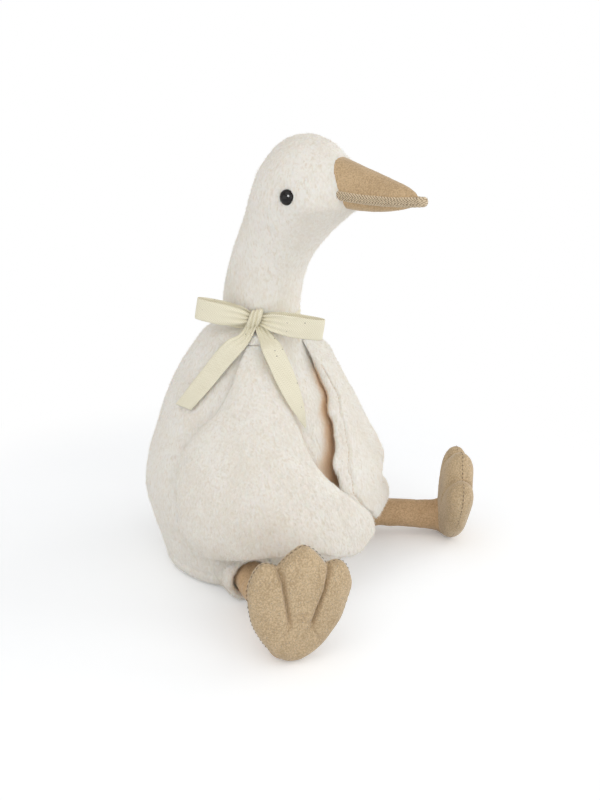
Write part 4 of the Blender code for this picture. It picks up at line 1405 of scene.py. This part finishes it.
        # Painted shade: the inner layer is browned near the front edge, where it faces the body in shade.
        inner = np.arange(len(made.points)) >= self.rows * self.columns
        shade_weight = (inner * smoothstep(0.30, 0.10, self.spread_of(made.points))
                * smoothstep(0.175, 0.155, made.points[:, 2]) * self.gap_shade_strength)
        mark(cover, "gap_shade", shade_weight)
        lay = np.array((self.side.value * -0.12, -0.30, -1.0))
        self.pile.add(f"{word}_wing_pile", made, lay, None, shade_weight)
        if self.seam:
            add_piece(f"{word}_wing_seam", self.seam_threads(), [SEAM_THREAD])


# Ribbon

@dataclass
class Bow:
    """One length of herringbone tape round the neck, tied in a bow with two loops and two tails."""

    width: float = 0.0155
    thickness: float = 0.0007
    band_width: float = 0.0105
    band_height: float = 0.1995
    lift: float = 0.0045
    bearing: float = 55.0
    left_loop: float = 0.043
    right_loop: float = 0.050
    tilt: float = 0.0075
    knot: tuple[float, float, float] = (0.0108, 0.0122, 0.0090)
    flat_length: float = 0.59
    left_tail: tuple = ((63.0, 0.1910, 0.0050, 0.60), (68.5, 0.1850, 0.0066, 0.90),
                        (75.5, 0.175, 0.0058, 1.0), (82.0, 0.163, 0.0048, 1.0),
                        (89.0, 0.151, 0.0042, 1.0), (96.0, 0.1385, 0.0040, 1.0))
    right_tail: tuple = ((44.0, 0.1925, 0.0060, 0.62), (36.5, 0.186, 0.0120, 0.95),
                         (31.0, 0.175, 0.0145, 1.0), (27.0, 0.164, 0.0152, 1.0),
                         (24.5, 0.154, 0.0154, 0.88), (22.0, 0.143, 0.0146, 0.60),
                         (19.5, 0.130, 0.0125, 0.10))

    def frame(self) -> tuple[Array, Array]:
        """The bow's axes as rows, X to the viewer's right, Y up, Z out from the neck, and its place."""
        angle = math.radians(self.bearing)
        outwards = np.array((-math.sin(angle), -math.cos(angle), 0.0))
        place = SKIN.at(self.bearing, np.array(self.band_height), 0.0) + (0, 0, self.lift)
        return Limb.axes(outwards, UP), place

    def strip(self, path: tuple[Array, Array, Array, Array], steps: int,
              slant: float = 0.0) -> tuple[Shell, Array]:
        """A strip of tape with a rounded edge along a path, gathered into folds cos(3.3 pi u) across it.

        Args:
            path: Its middle line's points, with the direction across, the width and the folds' depth at each.
            steps: Rings along it.
            slant: How far its last corner is cut forward on one side and back on the other.

        Returns:
            The strip, and the map of each point: across from 0 to 1, and along in widths.
        """
        shares = np.linspace(0, 1, steps)
        middle, side, width, gather = (catmull(values, shares) for values in path)
        side, ahead = unit(side), unit(np.gradient(middle, axis=0))
        up = unit(np.cross(side, ahead))
        place = np.linspace(-1, 1, 19)
        edge = np.sqrt(np.clip(1 - np.abs(place) ** 8, 0.10, 1))
        u = np.concatenate((place, place[::-1]))
        level = np.concatenate((edge, -edge[::-1])) * self.thickness / 2
        folds = level + gather[:, None] * np.cos(3.3 * math.pi * u + 0.6)
        cut = slant * smoothstep(0.8, 1.0, shares)[:, None] * u
        rings = (middle[:, None] + side[:, None] * u[:, None] * (width / 2)[:, None, None]
                 + up[:, None] * folds[..., None] + ahead[:, None] * cut[..., None])
        way = way_along(middle) / self.width
        uv = points_of((u * 0.5 + 0.5)[None, :], way[:, None]).reshape(-1, 2)
        made = turned_shell(rings)
        ends = np.array(((0.5, way[0]), (0.5, way[-1])))
        return made, np.concatenate((uv, ends))

    def loop_path(self, direction: int, length: float, lift: float) -> tuple[Array, Array, Array, Array]:
        """One loop, on edge and gathered: out from the knot, round its end and back behind."""
        axes, place = self.frame()
        table = np.array((
            (0.00, 0.0052, 0.34, 0.0010), (0.10, 0.0068, 0.48, 0.0012), (0.25, 0.0094, 0.80, 0.0008),
            (0.50, 0.0118, 1.0, 0.0002), (0.78, 0.0114, 1.0, 0.0), (0.94, 0.0092, 1.0, 0.0),
            (1.00, 0.0060, 1.0, 0.0), (0.96, 0.0030, 1.0, 0.0), (0.80, 0.0016, 1.0, 0.0),
            (0.50, 0.0018, 1.0, 0.0), (0.25, 0.0020, 0.80, 0.0003), (0.10, 0.0022, 0.48, 0.0005),
            (0.00, 0.0026, 0.34, 0.0006)))
        out, away, share, gather = table.T
        middles = np.stack((direction * length * out, lift * out, away), -1) @ axes + place
        across = np.array((-lift * direction / length, 1.0, 0.0)) @ axes
        return middles, np.broadcast_to(across, middles.shape), self.width * share, gather

    def tail_path(self, points: tuple) -> tuple[Array, Array, Array, Array]:
        """A tail from the knot through points of bearing, height, standoff and width share."""
        axes, place = self.frame()
        table = np.array(points)
        laid = SKIN.at(table[:, 0], table[:, 1], table[:, 2])
        middles = np.concatenate(((np.array((0.0, 0.0, self.knot[2] / 2)) @ axes + place)[None], laid))
        widths = self.width * np.concatenate(((0.38,), table[:, 3]))
        gather = 0.0011 * np.clip(1.0 - np.arange(len(widths)) / 2.5, 0, 1)
        ahead = np.gradient(middles, axis=0)
        bearing = np.radians(np.concatenate((table[:1, 0], table[:, 0])))
        outwards = np.stack((-np.sin(bearing), -np.cos(bearing), np.full(len(bearing), 0.35)), -1)
        return middles, np.cross(outwards, ahead), widths, gather

    def band_path(self) -> tuple[Array, Array, Array, Array]:
        """The turn round the neck, drawn in to a narrower band."""
        bearing = np.linspace(0, 360, 49) + self.bearing
        middles = SKIN.at(bearing, np.full(49, self.band_height), 0.0016)
        widths = self.band_width * (1 + 0.05 * np.sin(np.radians(bearing * 5)))
        return middles, np.broadcast_to(UP, middles.shape), widths, np.full(49, 0.0005)

    def knot_path(self) -> tuple[Array, Array, Array, Array]:
        """The short turn of tape that wraps the knot from top to bottom, twisted a little."""
        axes, place = self.frame()
        angle = np.linspace(-150, 150, 15)
        half_height, half_depth = self.knot[1] / 2, self.knot[2] / 2
        middles = np.stack((0.0016 * np.sin(np.radians(angle)), half_height * np.sin(np.radians(angle)),
                            half_depth * np.cos(np.radians(angle)) + self.knot[2] / 2 + 0.0008), -1)
        tilt = np.radians(12)
        across = np.array((math.cos(tilt), math.sin(tilt), 0.0)) @ axes
        gather = 0.0006 + 0.0006 * np.cos(np.radians(angle))
        widths = self.knot[0] * (0.82 + 0.18 * np.cos(np.radians(angle)))
        return middles @ axes + place, np.broadcast_to(across, middles.shape), widths, gather

    def build(self) -> None:
        """Makes the bow as one piece of tape with its own map."""
        parts = [self.strip(self.band_path(), 200),
                 self.strip(self.loop_path(-1, self.left_loop, self.tilt), 100),
                 self.strip(self.loop_path(1, self.right_loop, -self.tilt), 100),
                 self.strip(self.tail_path(self.left_tail), 80, -0.0042),
                 self.strip(self.tail_path(self.right_tail), 80), self.strip(self.knot_path(), 60)]
        shell = joined([part[0] for part in parts])
        uv = np.concatenate([part[1] for part in parts])
        points = shell.points
        shell = shell.moved(LUMPS.at(points, (0.011, 0.011, 0.011)) * 0.00025)
        made = add_piece("neck_bow", shell, [TAPE_WEAVE], ("neck_ribbon",))
        layer = made.data.uv_layers.new(name="tape")
        corner = np.empty(len(made.data.loops), np.int32)
        made.data.loops.foreach_get("vertex_index", corner)
        layer.uv.foreach_set("vector", uv[corner].astype(np.float32).ravel())


# Studio

@dataclass
class Studio:
    """Plain pale floor, soft lamps and the camera at the photograph's angle."""

    lens: float = 40.5
    azimuth: float = -48.3
    yaw: float = 2.5
    pitch: float = 18.6
    distance: float = 0.6765
    ahead: float = 0.011
    height: float = 0.3575
    floor: float = 6.0

    def camera(self) -> None:
        """The camera, at the place and turn that fit the photograph's landmarks."""
        data = bpy.data.cameras.new("camera")
        data.lens, data.sensor_width = self.lens, 36.0
        made = bpy.data.objects.new("camera", data)
        azimuth, yaw, pitch = (math.radians(angle) for angle in (self.azimuth, self.yaw, self.pitch))
        place = Vector((self.distance * math.sin(azimuth), -self.distance * math.cos(azimuth) - self.ahead,
                        self.height))
        ahead = Vector((-math.sin(azimuth), math.cos(azimuth), 0.0))
        right = Vector((math.cos(azimuth), math.sin(azimuth), 0.0))
        ahead, right = (ahead * math.cos(yaw) + right * math.sin(yaw),
                        right * math.cos(yaw) - ahead * math.sin(yaw))
        upward = ahead * math.sin(pitch) + Vector((0, 0, math.cos(pitch)))
        back = -(ahead * math.cos(pitch) - Vector((0, 0, math.sin(pitch))))
        turn = Matrix((right, upward, back)).transposed().to_4x4()
        turn.translation = place
        made.matrix_world = turn
        bpy.context.scene.collection.objects.link(made)
        bpy.context.scene.camera = made

    def ground(self) -> None:
        """The floor: a wide sheet, white to the camera but still shadowed."""
        half = self.floor / 2
        mesh = bpy.data.meshes.new("floor")
        corners = [(-half, -half, 0), (half, -half, 0), (half, half, 0), (-half, half, 0)]
        mesh.from_pydata(corners, [], [(0, 1, 2, 3)])
        made = bpy.data.objects.new("floor", mesh)
        bench = Bench("floor_paper")
        tree = bench.tree
        paper = bench.node("ShaderNodeBsdfDiffuse", None, {"Color": (0.845, 0.860, 0.880, 1)})
        bright = bench.node("ShaderNodeBsdfDiffuse", None, {"Color": (0.965, 0.980, 1.0, 1)})
        glow = bench.node("ShaderNodeEmission", None, {"Color": (1, 1, 1, 1), "Strength": 0.17})
        white = bench.node("ShaderNodeEmission", None, {"Color": (1, 1, 1, 1), "Strength": 1.0})
        near = bench.node("ShaderNodeAddShader", None, {0: bright.outputs[0], 1: glow.outputs[0]})
        reach = bench.node("ShaderNodeVectorMath", {"operation": "LENGTH"}, {0: bench.places()})
        away = Reading(bench, reach.outputs["Value"]).between(0.24, 0.42)
        lit = bench.node("ShaderNodeMixShader", None, {0: away, 1: near.outputs[0], 2: white.outputs[0]})
        path = bench.node("ShaderNodeLightPath")
        camera, glossy, through = (Reading(bench, path.outputs[f"Is {kind} Ray"])
                                   for kind in ("Camera", "Glossy", "Transmission"))
        seen = camera.math("MAXIMUM", glossy).math("MAXIMUM", through)
        mixed = bench.node("ShaderNodeMixShader", None, {0: seen, 1: paper.outputs[0], 2: lit.outputs[0]})
        tree.links.new(mixed.outputs[0], tree.nodes["Material Output"].inputs["Surface"])
        mesh.materials.append(bench.material)
        bpy.context.scene.collection.objects.link(made)

    def lamp(self, name: str, place: tuple[float, float, float], size: float, power: float,
             lights: bool = True) -> None:
        """A soft square lamp that looks at the goose; one that doesn't light it shows in its gloss alone."""
        data = bpy.data.lights.new(name, "AREA")
        data.size, data.energy = size, power
        made = bpy.data.objects.new(name, data)
        made.visible_diffuse = lights
        made.location = place
        made.rotation_euler = (Vector((0, -0.02, 0.14)) - Vector(place)).to_track_quat("-Z", "Y").to_euler()
        bpy.context.scene.collection.objects.link(made)

    def sky(self) -> None:
        """An even grey world that the camera sees as white."""
        world = bpy.data.worlds.new("studio")
        bpy.context.scene.world = world
        world.use_nodes = True
        tree = world.node_tree
        back = tree.nodes["Background"]
        back.inputs["Color"].default_value = (1.0, 0.995, 0.985, 1)
        back.inputs["Strength"].default_value = 0.60
        white = tree.nodes.new("ShaderNodeBackground")
        white.inputs["Color"].default_value = (1.0, 1.0, 1.0, 1)
        white.inputs["Strength"].default_value = 1.0
        path = tree.nodes.new("ShaderNodeLightPath")
        either = tree.nodes.new("ShaderNodeMath")
        either.operation = "MAXIMUM"
        tree.links.new(path.outputs["Is Camera Ray"], either.inputs[0])
        tree.links.new(path.outputs["Is Transmission Ray"], either.inputs[1])
        mixed = tree.nodes.new("ShaderNodeMixShader")
        tree.links.new(either.outputs[0], mixed.inputs[0])
        tree.links.new(back.outputs[0], mixed.inputs[1])
        tree.links.new(white.outputs[0], mixed.inputs[2])
        tree.links.new(mixed.outputs[0], tree.nodes["World Output"].inputs["Surface"])

    def build(self) -> None:
        """Sets the whole studio up."""
        self.camera()
        self.ground()
        self.lamp("key", (-0.80, -0.35, 1.50), 1.4, 3.9)
        self.lamp("front", (-0.30, -1.60, 0.60), 1.5, 7.4)
        self.lamp("near", (-1.50, 0.25, 0.15), 1.4, 6.0)
        self.lamp("far", (1.35, -0.95, 0.7), 1.4, 8.4)
        self.lamp("glint", (-1.13, -0.86, 0.80), 0.60, 26.0, False)
        self.sky()
        bpy.context.scene.view_settings.view_transform = "Standard"


def main() -> None:
    """Builds the goose piece by piece and then the studio."""
    logging.basicConfig(level=logging.INFO, format="%(name)s: %(message)s")
    right_wing = Wing(
        Side.RIGHT, front=(44, 35.5, 30, 25.6, 22.8, 20.3, 16, 9, 1, -6, -9),
        rear=(57, 60, 63.5, 69, 78, 84, 86.5, 86, 84, 81, 77),
        hem=(0.041, 0.031, 0.031, 0.037, 0.045, 0.0475, 0.0480, 0.0450, 0.0410, 0.0380, 0.0420),
        flare=0.020, curl=1.6, rear_ease=0.15, fold=(50, 0.060, 0.0), fur=RIGHT_WING_FUR)
    left_wing = Wing(
        Side.LEFT, front=(4, 6.5, 8.5, 8, 3.5, 0.5, -3, -7, -4, 4, 13),
        rear=(52, 56, 60, 64, 68, 72, 76, 80, 83, 84, 82),
        hem=(0.048, 0.041, 0.041, 0.042, 0.043, 0.047, 0.064, 0.066, 0.064, 0.067, 0.084),
        flare=0.0120, curl=3.2, rear_ease=0.8, fold=(46, 0.060, 0.0100), fur=LEFT_WING_FUR,
        ripple=1.1, gap_shade_strength=1.0, seam=0.092)
    Wing.shown = [right_wing, left_wing]
    BodyCover().build()
    right_wing.build()
    left_wing.build()
    Limb(Side.RIGHT, Stance(28.3, 0.1190, 33.0, 6.5, 0.0, 0.0165)).build()
    Limb(Side.LEFT, Stance(37.5, 0.1135, 37.0, 15.0, 4.0, 0.0160)).build()
    Bill().build()
    for side in Side:
        Eye(side).build()
    for name in ("right_eye_washer", "left_eye_washer"):
        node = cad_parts[name]
        node.data.materials.clear()
        node.data.materials.append(GLOSS_BLACK)
    Bow().build()
    Studio().build()


if __name__ == "__main__":
    main()
